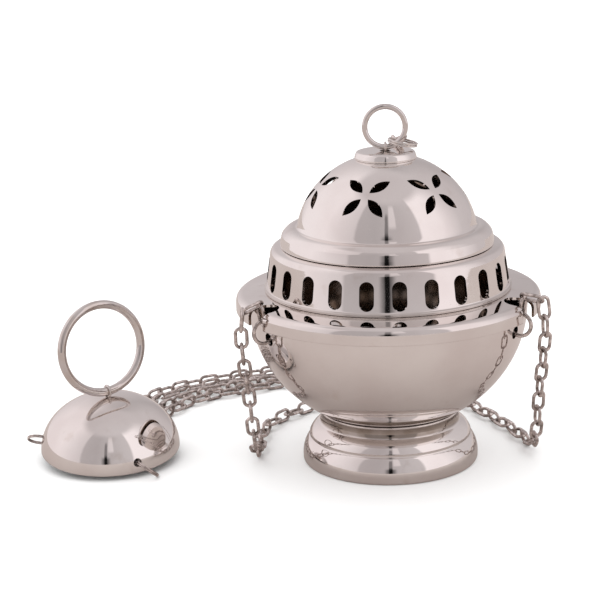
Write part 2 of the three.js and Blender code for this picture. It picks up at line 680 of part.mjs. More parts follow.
// Chain routes, chosen by hand: from the notch down to the table, then round behind the foot
const ROUTES = {
  left: [
    notchEnd(CHAIN_AZIMUTHS.left), beside(208.8, 6.4, 69), [-62.8, -21, 36], [-61.2, -8, 9],
    [-60.4, 0, laid + 1], [-59.6, 12, laid], [-58.4, 31, laid], [-51.5, 49, laid], [-39.6, 62.6, laid],
    [-21, 77.5, laid], [-3, 87, laid], [11, 96, laid], [18.6, 108, laid], [20.9, 120, laid],
  ],
  right: [
    notchEnd(CHAIN_AZIMUTHS.right), beside(331.5, 6.8, 69), [65, -21, 36], [65, -8, 9],
    [64.4, 1, laid + 1], [62.4, 12, laid], [57, 29, laid], [47.6, 52, laid], [41.5, 66, laid],
    [40.6, 80, laid], [42.6, 95, laid], [43.4, 108, laid], [43.4, 120, laid],
  ],
  back: [
    notchEnd(CHAIN_AZIMUTHS.back), beside(90, 8.6, 69), beside(90, 8, 40), [0.3, 75.6, 12],
    [3, 76.2, laid + 1.2], [10, 78.6, laid], [19, 86, laid], [26.2, 98, laid], [28.4, 110, laid],
    [28.4, 120, laid],
  ],
};

// Behind the bowl the four chains lie side by side: away from it, round a half turn and back, and then
// off to the hand cap. side is a chain's place among them, from the inside of the half turn.
const FOLD = { x: 7.9, turnLevel: 190, backLevel: 144, steps: 7 };

function foldPoints(side) {
  const middle = 13 + 1.5 * CHAIN_SPACING;
  const offset = (1.5 - side) * CHAIN_SPACING;
  const points = [];
  for (let i = 0; i <= 3; i += 1) {
    points.push([FOLD.x + middle - offset, 120 + ((FOLD.turnLevel - 120) * i) / 3.5, laid]);
  }
  for (let i = 0; i <= FOLD.steps; i += 1) {
    const angle = (Math.PI * i) / FOLD.steps;
    const radius = middle - offset;
    points.push([FOLD.x + radius * Math.cos(angle), FOLD.turnLevel + radius * Math.sin(angle), laid]);
  }
  points.push([FOLD.x - middle + offset, (FOLD.turnLevel + FOLD.backLevel) / 2, laid]);
  for (let i = 0; i <= 4; i += 1) {
    const angle = (-Math.PI / 2) * (i / 4);
    const radius = middle + offset;
    points.push([
      FOLD.x - 2 * middle + radius * Math.cos(angle),
      FOLD.backLevel + radius * Math.sin(angle),
      laid,
    ]);
  }
  return points;
}

// The middle of the four chains from the fold to the hand cap's rim, and each chain's place beside it
const BUNDLE = [
  [-56, 115.5], [-71, 109.5], [-87, 101.5], [-102.5, 89], [-113.5, 72.5], [-120, 55.5], [-122.3, 44],
];

// Under the cap each chain goes to what holds it: a ring in the cap's wall, or the pin in its top
const CAP_ENDS = {
  left: [[16.6, 31, laid + 0.6], [15.1, 21.2, laid + 3.8]],
  back: [[9, 20, laid], [9.5, 0, laid], [13, -22.8, laid + 1]],
  lid: [[1.5, 20, laid], [1, 8, laid + 4], [0.8, -0.4, laid + 15], [0.6, -1.9, laid + 24.2]],
  right: [[-7, 22, laid], [-13.5, 10, laid], [-27.6, -0.8, laid + 2.8]],
};

function capEndPoints(name) {
  return CAP_ENDS[name].map(([x, y, z]) => new THREE.Vector3(CAP_PLACE[0] + x, CAP_PLACE[1] + y, z));
}

function bundlePoints(side) {
  const offset = (1.5 - side) * CHAIN_SPACING;
  return BUNDLE.map(([x, y], i) => {
    const [before, after] = [BUNDLE[Math.max(0, i - 1)], BUNDLE[Math.min(BUNDLE.length - 1, i + 1)]];
    const [dx, dy] = [after[0] - before[0], after[1] - before[1]];
    const length = Math.hypot(dx, dy);
    return [x - (dy / length) * offset, y + (dx / length) * offset, laid];
  });
}

// The lid's chain: from the split ring over the collar's edge and down the back of dome, drum and brim
const lidChainProfile = [
  [22, domeHeight(22) + 8.6],
  [30, domeHeight(30) + 6.4],
  [DOME_RADIUS - 1.8, domeHeight(DOME_RADIUS - 1.8) + 8],
  [STEP_RADIUS - 3.3, domeBase + STEP_BAND_HEIGHT + STEP_ROUND_HEIGHT + 3.8],
  [STEP_RADIUS + 3.4, domeBase + STEP_BAND_HEIGHT + 2.8],
  [DRUM_RADIUS, domeBase + 0.5],
  [DRUM_RADIUS + 3.6, drumTop - DRUM_SHOULDER - 5],
  [DRUM_RADIUS + 7.6, drumBase + 7.5],
  [BRIM_RADIUS - 0.3, brimTop(BRIM_RADIUS) + 5],
  [BRIM_RADIUS + 4.8, brimTop(BRIM_RADIUS) - 1],
  [BRIM_RADIUS + 5.4, brimTop(BRIM_RADIUS) - 12],
  [BRIM_RADIUS + 5.2, 40],
  [BRIM_RADIUS + 4.8, 12.5],
];

// Export: every piece with its name, in the censer's frame, then moved to stand about the whole's middle

const pieces = new THREE.Group();

function add(name, geometry, material = NICKEL, holder = pieces) {
  const mesh = new THREE.Mesh(closed(geometry), material);
  mesh.name = name;
  holder.add(mesh);
  return mesh;
}

add('foot', foot());
add('bowl', bowl());
add('charcoal_pan', charcoalPan(), PAN_STEEL);
add('lid_brim', brim());
add('lid_drum', drum());
add('lid_dome', dome());
add('lid_collar', collar());
const lidShankFoot = domeHeight(0) - LID_SHEET - CLEARANCE - EYE_WIRE - lidRingAxis;
add('lid_eye_pin', eyePin(lidEyeRadius, lidShankFoot, legDrop(DOME_RADIUS, DOME_RISE))
  .translate(0, 0, lidRingAxis));
add('lid_ring', wireRing(LID_RING_DIAMETER, LID_RING_WIRE, 28, 8).rotateX(Math.PI / 2)
  .translate(0, 0, lidRingCentre));

// The split ring hangs on the lid's ring, resting beside the eye
const splitRingMid = (SPLIT_RING_DIAMETER - SPLIT_RING_WIRE) / 2;
const splitRingPlace = new THREE.Vector3(
  EYE_WIRE / 2 + CLEARANCE + SPLIT_RING_DIAMETER / 2,
  0,
  lidRingCentre - SPLIT_RING_DROP,
);
const splitRing = wireRing(SPLIT_RING_DIAMETER, SPLIT_RING_WIRE, 20, 6).rotateY(radians(SPLIT_RING_TILT));
add('lid_split_ring', splitRing.translate(...splitRingPlace.toArray()));

for (const [name, azimuth] of Object.entries(CHAIN_AZIMUTHS)) {
  add(`bowl_ring_${name}`, bowlRing(azimuth), CHAIN_NICKEL);
}

// The hand cap with its rings is made upright about its own middle, then set down tilted
const capTurn = new THREE.Matrix4().makeRotationAxis(
  new THREE.Vector3(direction(CAP_TILT_AZIMUTH)[1], -direction(CAP_TILT_AZIMUTH)[0], 0),
  radians(CAP_TILT),
);
const capFrame = new THREE.Matrix4()
  .makeTranslation(...CAP_PLACE, CAP_LIFT + CAP_RADIUS * Math.sin(radians(CAP_TILT)))
  .multiply(capTurn);

function handCap() {
  const inner = [CAP_RADIUS - CAP_SHEET, CAP_HEIGHT - CAP_SHEET];
  const shell = turned([
    ...ellipse(CAP_RADIUS, CAP_HEIGHT, 0, 0, 90, 7).slice(0, -1),
    [handHoleRadius, CAP_HEIGHT],
    [handHoleRadius, CAP_HEIGHT - CAP_SHEET],
    ...ellipse(...inner, 0, 90, 0, 5).slice(1),
  ], 30);
  const cutters = Object.values(CAP_RING_AZIMUTHS).map((azimuth) => {
    const from = [CAP_RADIUS - 5, 0, CAP_HOLE_HEIGHT];
    const to = [CAP_RADIUS + 5, 0, CAP_HOLE_HEIGHT];
    return bar(from, to, CAP_HOLE_RADIUS, 10).rotateZ(radians(azimuth));
  });
  return cut(shell, cutters);
}

// A cap ring goes through its hole and back under the rim, so it lies slanted along the wall
function capRing(azimuth) {
  const mid = (CAP_RING_DIAMETER - CAP_RING_WIRE) / 2;
  const half = Math.sqrt(mid ** 2 - CAP_RING_OVERHANG ** 2);
  const drop = CAP_HOLE_HEIGHT + 3 * CLEARANCE + CAP_RING_WIRE / 2;
  const run = Math.sqrt(4 * half ** 2 - drop ** 2);
  const wall = CAP_RADIUS * Math.sqrt(1 - (CAP_HOLE_HEIGHT / CAP_HEIGHT) ** 2) - CAP_SHEET / 2;
  const ring = wireRing(CAP_RING_DIAMETER, CAP_RING_WIRE, 20, 6).translate(CAP_RING_OVERHANG, half, 0);
  ring.rotateX(-Math.asin(drop / (2 * half))).rotateZ(Math.asin(run / 2 / CAP_RADIUS));
  return ring.translate(wall, 0, CAP_HOLE_HEIGHT).rotateZ(radians(azimuth));
}

const handEye = new THREE.Vector3(0, 0, CAP_HEIGHT + 2 * CLEARANCE + HAND_RING_WIRE / 2);
const handEyeTurn = radians(HAND_RING_TURN);
const handShankFoot = CAP_HEIGHT - CAP_SHEET - CLEARANCE - EYE_WIRE - handEye.z;
add('hand_cap', handCap().applyMatrix4(capFrame));
add('hand_eye_pin', eyePin(handEyeRadius, handShankFoot, legDrop(CAP_RADIUS, CAP_HEIGHT)).rotateZ(handEyeTurn)
  .translate(...handEye.toArray())
  .applyMatrix4(capFrame));
for (const [name, azimuth] of Object.entries(CAP_RING_AZIMUTHS)) {
  add(`cap_ring_${name}`, capRing(azimuth).applyMatrix4(capFrame), CHAIN_NICKEL);
}

// The hand ring stands up from its eye, leaning over in its own plane
const handRingMid = (HAND_RING_DIAMETER - HAND_RING_WIRE) / 2;
const handRing = wireRing(HAND_RING_DIAMETER, HAND_RING_WIRE, 36, 8).rotateX(Math.PI / 2);
handRing.translate(0, 0, handRingMid).rotateY(radians(HAND_RING_LEAN));
handRing.rotateX(radians(-HAND_RING_BACK)).rotateZ(handEyeTurn);
add('hand_ring', handRing.translate(...handEye.clone().applyMatrix4(capFrame).toArray()));

// Chains: links where they show, plain tubes where they lie behind the bowl and under the cap
const SIDES = { left: 0, back: 1, lid: 2, right: 3 };
const LINK_COUNTS = { left: 17, right: 18, back: 4, lid: 13 };

function chain(name, points, options) {
  const { links, end, cursor } = layLinks(points, LINK_COUNTS[name], options);
  const node = name === 'lid' ? 'lid_chain' : `chain_${name}`;
  add(node, joined(links), CHAIN_NICKEL);
  const rest = points.slice(cursor).filter((p, i) => i % 14 === 10);
  const onward = rest[0].clone().sub(end).normalize();
  const hidden = [
    end.clone().addScaledVector(onward, CLEARANCE),
    ...rest,
    ...foldPoints(SIDES[name]).map((p) => new THREE.Vector3(...p)),
    ...bundlePoints(SIDES[name]).map((p) => new THREE.Vector3(...p)),
    ...capEndPoints(name),
  ];
  const shown = routeLength(points.slice(0, cursor));
  const length = shown + new THREE.CatmullRomCurve3(hidden, false, 'centripetal').getLength();
  add(`${node}_laid`, tube(hidden, CHAIN_LAID_HEIGHT, 36), CHAIN_NICKEL);
  console.log(`${name} chain: ${links.length} links shown, ${length.toFixed(0)} mm in all`);
}

for (const [name, azimuth] of Object.entries(CHAIN_AZIMUTHS)) {
  chain(name, route(ROUTES[name]), { level: [1, 0, 0], first: notchLinks(azimuth) });
}

const [lidX, lidY] = direction(LID_CHAIN_AZIMUTH);
const lidRoute = [
  ...lidChainProfile.map(([radius, height]) => [radius * lidX, radius * lidY, height]),
  [19.5, 71, laid + 2.5], [24, 76, laid + 0.4], [31, 86, laid],
  [35, 98, laid], [35.9, 110, laid], [35.9, 120, laid],
];
const hold = splitRingPlace.clone().add(new THREE.Vector3(0, splitRingMid, 0));
const away = new THREE.Vector3(...lidRoute[0]).sub(hold).normalize();
const firstReach = LINK_HALF - LINK_WIRE / 2 - SPLIT_RING_WIRE / 2 - 2 * CLEARANCE;
const firstPlace = hold.clone().addScaledVector(away, firstReach);
const firstWidth = new THREE.Vector3(1, 0, 1).addScaledVector(away, -away.z - away.x);
chain('lid', route([firstPlace.toArray(), ...lidRoute]), {
  level: [lidX, lidY, 1],
  first: [[firstPlace.toArray(), away.toArray(), firstWidth]],
});

// The origin moves under the middle of everything but the chains
const whole = new THREE.Box3();
pieces.children.filter((piece) => !piece.name.includes('chain')).forEach((piece) => {
  whole.expandByObject(piece);
});
const middle = whole.getCenter(new THREE.Vector3()).setZ(whole.min.z);
pieces.children.forEach((piece) => piece.geometry.translate(-middle.x, -middle.y, -middle.z));
console.log(`the foot's centre is at ${(-middle.x).toFixed(2)}, ${(-middle.y).toFixed(2)} mm`);

export default pieces;
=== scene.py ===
import math

import bmesh
import bpy
import numpy as np
from mathutils import Matrix, Vector


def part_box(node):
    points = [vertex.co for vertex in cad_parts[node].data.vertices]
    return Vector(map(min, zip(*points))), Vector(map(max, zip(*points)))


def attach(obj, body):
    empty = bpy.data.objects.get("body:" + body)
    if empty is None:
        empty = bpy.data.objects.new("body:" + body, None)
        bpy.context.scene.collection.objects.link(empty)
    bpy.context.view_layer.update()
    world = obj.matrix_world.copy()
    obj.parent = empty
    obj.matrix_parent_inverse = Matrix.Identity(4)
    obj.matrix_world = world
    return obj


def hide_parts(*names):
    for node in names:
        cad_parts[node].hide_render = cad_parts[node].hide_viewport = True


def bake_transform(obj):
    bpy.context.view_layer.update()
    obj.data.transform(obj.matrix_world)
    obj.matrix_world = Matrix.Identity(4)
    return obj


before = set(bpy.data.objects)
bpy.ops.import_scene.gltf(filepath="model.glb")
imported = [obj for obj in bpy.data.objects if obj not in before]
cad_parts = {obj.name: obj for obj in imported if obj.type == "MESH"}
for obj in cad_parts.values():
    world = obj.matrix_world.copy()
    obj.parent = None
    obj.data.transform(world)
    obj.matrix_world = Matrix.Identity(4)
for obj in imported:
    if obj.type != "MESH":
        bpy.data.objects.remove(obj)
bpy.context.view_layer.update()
mm = 0.001

# Camera
# A long lens a little above the table, as the photograph was taken: the burner stands right of the middle.
foot_low, foot_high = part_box("foot")
axis = Vector(((foot_low.x + foot_high.x) / 2, (foot_low.y + foot_high.y) / 2, 0))
camera = bpy.data.objects.new("camera", bpy.data.cameras.new("camera"))
bpy.context.scene.collection.objects.link(camera)
bpy.context.scene.camera = camera
camera.data.sensor_width = 36
camera.data.lens = 109.26
camera_place, pitch_down, roll_right = Vector((-39.23, -786.07, 281.8)), 14.77, 1.7
camera.matrix_world = (
    Matrix.Translation(axis + camera_place * mm)
    @ Matrix.Rotation(math.radians(90 - pitch_down), 4, "X")
    @ Matrix.Rotation(math.radians(-roll_right), 4, "Z")
)

# Foot
# Spun from one sheet of brass, hollow below: a rounded base, a groove, a smaller moulding, a cove and a thin
# lip that the bowl is soldered to.


def corners_rounded(corners):
    """A closed outline of (radius, height) points from (radius, height, rounding) corners, in millimetres.
    A rounding takes less than half of each side that it touches."""
    outline, count, most = [], len(corners), 0.48
    for i, (r, z, rounding) in enumerate(corners):
        here = np.array((r, z), float)
        if rounding <= 0:
            outline.append(here)
            continue
        before = np.array(corners[i - 1][:2], float) - here
        after = np.array(corners[(i + 1) % count][:2], float) - here
        reach = min(rounding, most * np.linalg.norm(before), most * np.linalg.norm(after))
        start = here + before / np.linalg.norm(before) * reach
        end = here + after / np.linalg.norm(after) * reach
        steps = 15 if reach > 2 else 5
        for k in range(steps + 1):
            t = k / steps
            outline.append(start * (1 - t) ** 2 + here * 2 * t * (1 - t) + end * t ** 2)
    return outline


def arc(start, end, sagitta, steps=12):
    """Corners along a shallow bow from start to end, swelling to its right."""
    start, end = np.array(start, float), np.array(end, float)
    step = end - start
    side = np.array((step[1], -step[0])) / np.linalg.norm(step)
    return [
        (*(start + step * t + side * sagitta * 4 * t * (1 - t)), 0)
        for t in np.linspace(0, 1, steps + 1)
    ]


def ellipse(radius, rise, centre, start, end, steps):
    """Corners along an ellipse about the axis, its middle at a height, between two angles in degrees."""
    return [
        (max(0.0, radius * math.cos(a)), centre + rise * math.sin(a), 0)
        for a in np.radians(np.linspace(start, end, steps + 1))
    ]


def outline_normals(outline):
    """A normal for each point of a closed outline, pointing out of the sheet."""
    points = np.array(outline)
    steps = np.roll(points, -1, 0) - points
    area = (points[:, 0] * np.roll(points[:, 1], -1) - np.roll(points[:, 0], -1) * points[:, 1]).sum()
    sides = np.stack([steps[:, 1], -steps[:, 0]], 1) * (1 if area > 0 else -1)
    normals = sides + np.roll(sides, 1, 0)
    normals[points[:, 0] < 1e-6, 0] = 0
    return normals / np.maximum(np.linalg.norm(normals, axis=1), 1e-9)[:, None]


def closed_mesh(name, points, faces):
    """A mesh of the faces, all turned outwards."""
    mesh = bpy.data.meshes.new(name)
    mesh.from_pydata(points, [], faces)
    body = bmesh.new()
    body.from_mesh(mesh)
    bmesh.ops.recalc_face_normals(body, faces=body.faces)
    body.to_mesh(mesh)
    body.free()
    return mesh


def turned(name, corners, segments=160):
    """A body turned about its own Z from a closed outline's corners in millimetres."""
    outline = np.array(corners_rounded(corners))
    keep = np.linalg.norm(outline - np.roll(outline, 1, 0), axis=1) > 1e-4
    outline = outline[keep]
    points, rings = [], []
    turns = np.arange(segments) * 2 * math.pi / segments
    for r, z in outline:
        if r < 1e-6:
            rings.append([len(points)] * segments)
            points.append((0, 0, z * mm))
        else:
            rings.append(list(range(len(points), len(points) + segments)))
            points.extend((r * mm * math.cos(t), r * mm * math.sin(t), z * mm) for t in turns)
    faces = []
    for i in range(len(rings)):
        low, high = rings[i], rings[(i + 1) % len(rings)]
        if low[0] == low[1] and high[0] == high[1]:
            continue
        for k in range(segments):
            m = (k + 1) % segments
            face = [low[k], low[m], high[m], high[k]]
            faces.append(tuple(dict.fromkeys(face)))
    piece = bpy.data.objects.new(name, closed_mesh(name, points, faces))
    bpy.context.scene.collection.objects.link(piece)
    return piece, outline


def polished(piece, outline):
    """Smooth shading that follows the turned outline, so that holes cut in the sheet leave no mark."""
    mesh = piece.data
    normals = outline_normals(outline)
    place = np.empty(len(mesh.vertices) * 3)
    mesh.vertices.foreach_get("co", place)
    place = place.reshape(-1, 3) / mm
    flat = np.stack([np.hypot(place[:, 0], place[:, 1]), place[:, 2]], 1)
    starts, steps = outline, np.roll(outline, -1, 0) - outline
    sizes = np.maximum((steps ** 2).sum(1), 1e-12)
    best = np.full(len(flat), 1e9)
    found = np.zeros((len(flat), 2))
    for start, step, size, a, b in zip(starts, steps, sizes, normals, np.roll(normals, -1, 0)):
        share = np.clip(((flat - start) @ step) / size, 0, 1)
        far = np.linalg.norm(flat - start - share[:, None] * step, axis=1)
        near = far < best
        best[near] = far[near]
        found[near] = (a * (1 - share[:, None]) + b * share[:, None])[near]
    across = place[:, :2] / np.maximum(flat[:, :1], 1e-6)
    true = np.concatenate([across * found[:, :1], found[:, 1:]], 1)
    true /= np.maximum(np.linalg.norm(true, axis=1), 1e-9)[:, None]
    corner = np.empty(len(mesh.loops), int)
    mesh.loops.foreach_get("vertex_index", corner)
    facing = np.empty(len(mesh.polygons) * 3)
    mesh.polygons.foreach_get("normal", facing)
    totals = np.empty(len(mesh.polygons), int)
    mesh.polygons.foreach_get("loop_total", totals)
    facing = np.repeat(facing.reshape(-1, 3), totals, axis=0)
    wanted = true[corner]
    cut_edge = 0.82
    wanted[(wanted * facing).sum(1) < cut_edge] = 0
    mesh.polygons.foreach_set("use_smooth", [True] * len(mesh.polygons))
    mesh.set_sharp_from_angle(angle=math.radians(35))
    mesh.normals_split_custom_set(wanted.tolist())


def placed(piece, matrix, body, node, finish):
    """Sets a piece in place, on its body, in the CAD node's stead and in its finish's material."""
    piece.matrix_world = matrix
    bpy.context.view_layer.update()
    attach(piece, body)
    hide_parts(node)
    piece.data.materials.clear()
    piece.data.materials.append(finish[1])


def feed(tree, socket, value):
    """Gives a socket a number, a colour or another node's output."""
    if isinstance(value, bpy.types.NodeSocket):
        tree.links.new(value, socket)
    else:
        socket.default_value = value


def maths(tree, operation, *values):
    node = tree.nodes.new("ShaderNodeMath")
    node.operation = operation
    for socket, value in zip(node.inputs, values):
        feed(tree, socket, value)
    return node.outputs[0]


def noise(tree, scale, detail, spot):
    node = tree.nodes.new("ShaderNodeTexNoise")
    for name, value in (("Scale", scale), ("Detail", detail), ("Vector", spot)):
        feed(tree, node.inputs[name], value)
    return node.outputs["Fac"]


def between(tree, value, low, high, to_low=0, to_high=1, curve="SMOOTHSTEP"):
    """to_low where the value is below low, to_high where it is above high, and a gradual change between."""
    node = tree.nodes.new("ShaderNodeMapRange")
    node.interpolation_type = curve
    limits = {"Value": value, "From Min": low, "From Max": high, "To Min": to_low, "To Max": to_high}
    for name, limit in limits.items():
        feed(tree, node.inputs[name], limit)
    return node.outputs["Result"]


def mixed(tree, factor, under, over, blend="MIX"):
    """The colour under where the factor is 0 and the colour over where it is 1."""
    node = tree.nodes.new("ShaderNodeMix")
    node.data_type = "RGBA"
    node.blend_type = blend
    feed(tree, node.inputs["Factor"], factor)
    for name, colour in (("A", under), ("B", over)):
        feed(tree, node.inputs[name], (*colour, 1) if isinstance(colour, tuple) else colour)
    return node.outputs["Result"]


def ramp(tree, value, stops):
    """The colour at a value between stops of (position, colour)."""
    node = tree.nodes.new("ShaderNodeValToRGB")
    feed(tree, node.inputs["Fac"], value)
    elements = node.color_ramp.elements
    for element, (position, colour) in zip(elements, (stops[0], stops[-1])):
        element.position = position
        element.color = (*colour, 1)
    for position, colour in stops[1:-1]:
        elements.new(position).color = (*colour, 1)
    return node.outputs["Color"]


def bump(tree, height, strength, distance, under=None):
    """A normal that follows the height, on top of the one under it."""
    node = tree.nodes.new("ShaderNodeBump")
    for name, value in (("Height", height), ("Strength", strength), ("Distance", distance)):
        feed(tree, node.inputs[name], value)
    if under is not None:
        feed(tree, node.inputs["Normal"], under)
    return node.outputs["Normal"]


def metal(name, metallic=1):
    """A new metal's material, its node tree and its texture coordinates."""
    material = bpy.data.materials.new(name)
    material.use_nodes = True
    tree = material.node_tree
    feed(tree, tree.nodes["Principled BSDF"].inputs["Metallic"], metallic)
    return material, tree, tree.nodes.new("ShaderNodeTexCoord").outputs


def surface(tree, colour, rough, normal):
    shader = tree.nodes["Principled BSDF"]
    for name, value in (("Base Color", colour), ("Roughness", rough), ("Normal", normal)):
        feed(tree, shader.inputs[name], value)


def nickel_plate(name, waves=1.0, dull=0.0, spun=True, shade=1.0, painted_shade_band=(0, 0, 0)):
    """Polished nickel on spun brass: rings left by spinning, a slightly uneven polish, pin-prick marks,
    and a dull brownish inside where the polishing wheel didn't reach. The last argument is painted shade:
    a dark band between two heights in millimetres, where a cove or joint lies in shade, and how dark it is."""
    material, tree, place = metal(name)
    spot = place["Object"]
    parts = tree.nodes.new("ShaderNodeSeparateXYZ")
    feed(tree, parts.inputs[0], spot)
    x, y, z = parts.outputs

    # Inside is where the surface faces the piece's axis
    outward = tree.nodes.new("ShaderNodeCombineXYZ")
    feed(tree, outward.inputs["X"], x)
    feed(tree, outward.inputs["Y"], y)
    facing = tree.nodes.new("ShaderNodeVectorMath")
    facing.operation = "DOT_PRODUCT"
    feed(tree, facing.inputs[0], place["Normal"])
    feed(tree, facing.inputs[1], outward.outputs[0])
    inside = between(tree, facing.outputs["Value"], -0.004, -0.001, 1 if spun else 0, 0)

    # Clean plate in two tints, clouded; tarnish in spots, more of it on darker plate; what the wheel missed
    tints = (0.78, 0.73, 0.71), (0.88, 0.85, 0.83)
    greyer, lighter = (tuple(part * shade for part in tint) for tint in tints)
    tarnished, unpolished, shade_colour = (0.60, 0.52, 0.46), (0.15, 0.10, 0.065), (0.22, 0.17, 0.13)
    cloud = noise(tree, 26, 5, spot)
    stain = noise(tree, 95, 8, spot)
    colour = mixed(tree, between(tree, cloud, 0.3, 0.7), greyer, lighter)
    faint, full, most = shade - 0.4, shade - 0.22, 1.35 - shade
    colour = mixed(tree, between(tree, stain, faint, full, 0, most), colour, tarnished)
    missed = maths(tree, "MULTIPLY", inside, between(tree, stain, 0.2, 0.7, 0.75, 1))
    colour = mixed(tree, missed, colour, unpolished)
    # Painted shade: a patchy dark band between two heights, for a cove or a joint in shade and its dark
    # reflections
    low, high, amount = painted_shade_band
    low_fade, high_fade = 0.6, 0.3
    above = between(tree, z, (low - low_fade) * mm, (low + low_fade) * mm, 0, amount)
    below = between(tree, z, (high - high_fade) * mm, (high + high_fade) * mm, 1, 0)
    uneven = maths(tree, "MULTIPLY", above, between(tree, stain, 0.3, 0.6, 0.75, 1))
    colour = mixed(tree, maths(tree, "MULTIPLY", uneven, below), colour, shade_colour)

    # Spun rings are fine lines that run round the axis, so their noise has only a radius and a height
    rings = tree.nodes.new("ShaderNodeCombineXYZ")
    squares = maths(tree, "ADD", maths(tree, "MULTIPLY", x, x), maths(tree, "MULTIPLY", y, y))
    feed(tree, rings.inputs["X"], maths(tree, "SQRT", squares))
    feed(tree, rings.inputs["Z"], z)
    lines = noise(tree, 2600, 3, rings.outputs[0])
    pricks = between(tree, noise(tree, 1500, 2, spot), 0.71, 0.76)
    lined = between(tree, lines, 0.45, 0.8, 0, 0.02 if spun else 0.01)
    rough = maths(tree, "ADD", between(tree, cloud, 0.3, 0.75, 0.01 + dull, 0.05 + dull), lined)
    rough = maths(tree, "ADD", rough, maths(tree, "MULTIPLY", inside, 0.10))
    rough = maths(tree, "ADD", rough, maths(tree, "MULTIPLY", pricks, 0.12))

    # Slow waves and a faint ripple in the sheet, and the rings and pricks on top of them
    ripple = maths(tree, "MULTIPLY", noise(tree, 150, 2, spot), 0.08)
    height = maths(tree, "ADD", noise(tree, 34, 1.5, spot), ripple)
    wavy = bump(tree, height, 1, 0.16 * mm * waves)
    scored = maths(tree, "ADD", lines, maths(tree, "MULTIPLY", pricks, -2))
    surface(tree, colour, rough, bump(tree, scored, 0.25, 0.003 * mm, wavy))
    return "nickel", material


on_axis = Matrix.Translation(axis)
spun_nickel = nickel_plate("nickel_spun")
foot, foot_line = turned("burner_foot", [
    (38.9, 0, 0.3), (39.6, 0.8, 0.7),
    *arc((39.65, 3), (36.9, 11.2), 0.72),
    (36.3, 11.7, 0.3), (36.3, 12.7, 0.3),
    *arc((36.5, 13.0), (32.2, 17.9), 0.55, 16), (31.8, 18.2, 0.3),
    *arc((31.5, 18.6), (31.0, 22.6), -0.4), (31.1, 22.8, 0.1),
    *arc((31.3, 22.9), (30.9, 23.6), 0.2, 8),
    (29.4, 22.3, 0.3), (29.4, 16.9, 0.6), (34.8, 11.2, 0.8),
    (37.7, 1.5, 0.4), (34.4, 1.5, 0.3), (34.4, 0, 0.3),
])
polished(foot, foot_line)
# Painted shade on the foot's cove and the lip under the bowl, for their dark reflections
placed(foot, on_axis, "burner", "foot", nickel_plate("nickel_foot", painted_shade_band=(18.6, 22.7, 0.85)))

# Bowl
# One deep bowl of sheet metal, soldered to the foot. At three places its rim is cut and its wall is drilled
# for the chains' rings.
bowl_radius, bowl_widest, bowl_rim = 62, 73.24, 77.84
notch_azimuths = {"left": 210, "right": 330, "back": 90}


def prisms(outlines_and_frames, low, high):
    """One mesh of prisms: each outline in millimetres stands along its frame's Z from low to high."""
    points, faces = [], []
    for outline, matrix in outlines_and_frames:
        base, count = len(points), len(outline)
        for level in (low, high):
            points.extend(matrix @ Vector((x * mm, y * mm, level * mm)) for x, y in outline)
        faces.append(tuple(range(base + count - 1, base - 1, -1)))
        faces.append(tuple(range(base + count, base + 2 * count)))
        for i in range(count):
            j = (i + 1) % count
            faces.append((base + i, base + j, base + count + j, base + count + i))
    return closed_mesh("cutter", [tuple(p) for p in points], faces)


def cut_out(piece, cutter_mesh):
    """Cuts a closed mesh out of a piece that stands at the origin."""
    cutter = bpy.data.objects.new("cutter", cutter_mesh)
    bpy.context.scene.collection.objects.link(cutter)
    change = piece.modifiers.new("cut", "BOOLEAN")
    change.operation = "DIFFERENCE"
    change.solver = "EXACT"
    change.object = cutter
    bpy.context.view_layer.update()
    after = bpy.data.meshes.new_from_object(piece.evaluated_get(bpy.context.evaluated_depsgraph_get()))
    piece.modifiers.clear()
    piece.data = after
    bpy.data.objects.remove(cutter)


def circle(radius, count=32):
    turns = np.arange(count) * 2 * math.pi / count
    return [(radius * math.cos(t), radius * math.sin(t)) for t in turns]


def slot_outline(length, width, count=14):
    """A stadium along X."""
    half, straight = width / 2, length / 2 - width / 2
    ends = []
    for end in (0, math.pi):
        for k in range(count + 1):
            t = end - math.pi / 2 + math.pi * k / count
            ends.append((straight * math.cos(end) + half * math.cos(t), half * math.sin(t)))
    return ends


bowl, bowl_line = turned("burner_bowl", [
    *ellipse(bowl_radius, 56.9, bowl_widest, -90, 4.3, 60),
    (61.75, bowl_rim, 0.5), (60.45, bowl_rim, 0.5),
    *ellipse(60.6, 55.5, bowl_widest, 4.3, -90, 50),
])
sideways = Matrix.Rotation(math.pi / 2, 4, "Y")
hole_height, hole_radius = 65.33, 2.9
cut_foot, cut_half = 70.86, 3.75
cut_rise = bowl_rim + 4 - cut_foot
ring_slot = [(-cut_rise, -cut_half), (0, -cut_half), (0, cut_half), (-cut_rise, cut_half)]
cutters = []
for azimuth in notch_azimuths.values():
    turn = Matrix.Rotation(math.radians(azimuth), 4, "Z")
    cutters.append((circle(hole_radius), turn @ Matrix.Translation((0, 0, hole_height * mm)) @ sideways))
    cutters.append((ring_slot, turn @ Matrix.Translation((0, 0, cut_foot * mm)) @ sideways))
cut_out(bowl, prisms(cutters, 52, 70))
polished(bowl, bowl_line)
# Painted shade on the bowl's bottom where it meets the foot
placed(bowl, on_axis, "burner", "bowl", nickel_plate("nickel_bowl", waves=0.7, painted_shade_band=(24.2, 28.5, 0.4)))

# Charcoal pan
# A loose dish of thin steel with a rolled rim, darkened by heat and dusted with ash.
pan_seat = 50.34


def pan_metal():
    """Steel browned and sooted by heat, with grains of ash on it."""
    material, tree, place = metal("pan_steel", 0.9)
    sooty, straw, bare = (0.035, 0.026, 0.02), (0.12, 0.085, 0.055), (0.30, 0.24, 0.19)
    soot = noise(tree, 70, 9, place["Object"])
    colour = ramp(tree, soot, [(0.3, sooty), (0.5, straw), (0.75, bare)])
    rough = between(tree, soot, 0, 1, 0.35, 0.75, "LINEAR")
    ash = noise(tree, 900, 5, place["Object"])
    surface(tree, colour, rough, bump(tree, ash, 0.5, 0.1 * mm))
    return "pan_steel", material


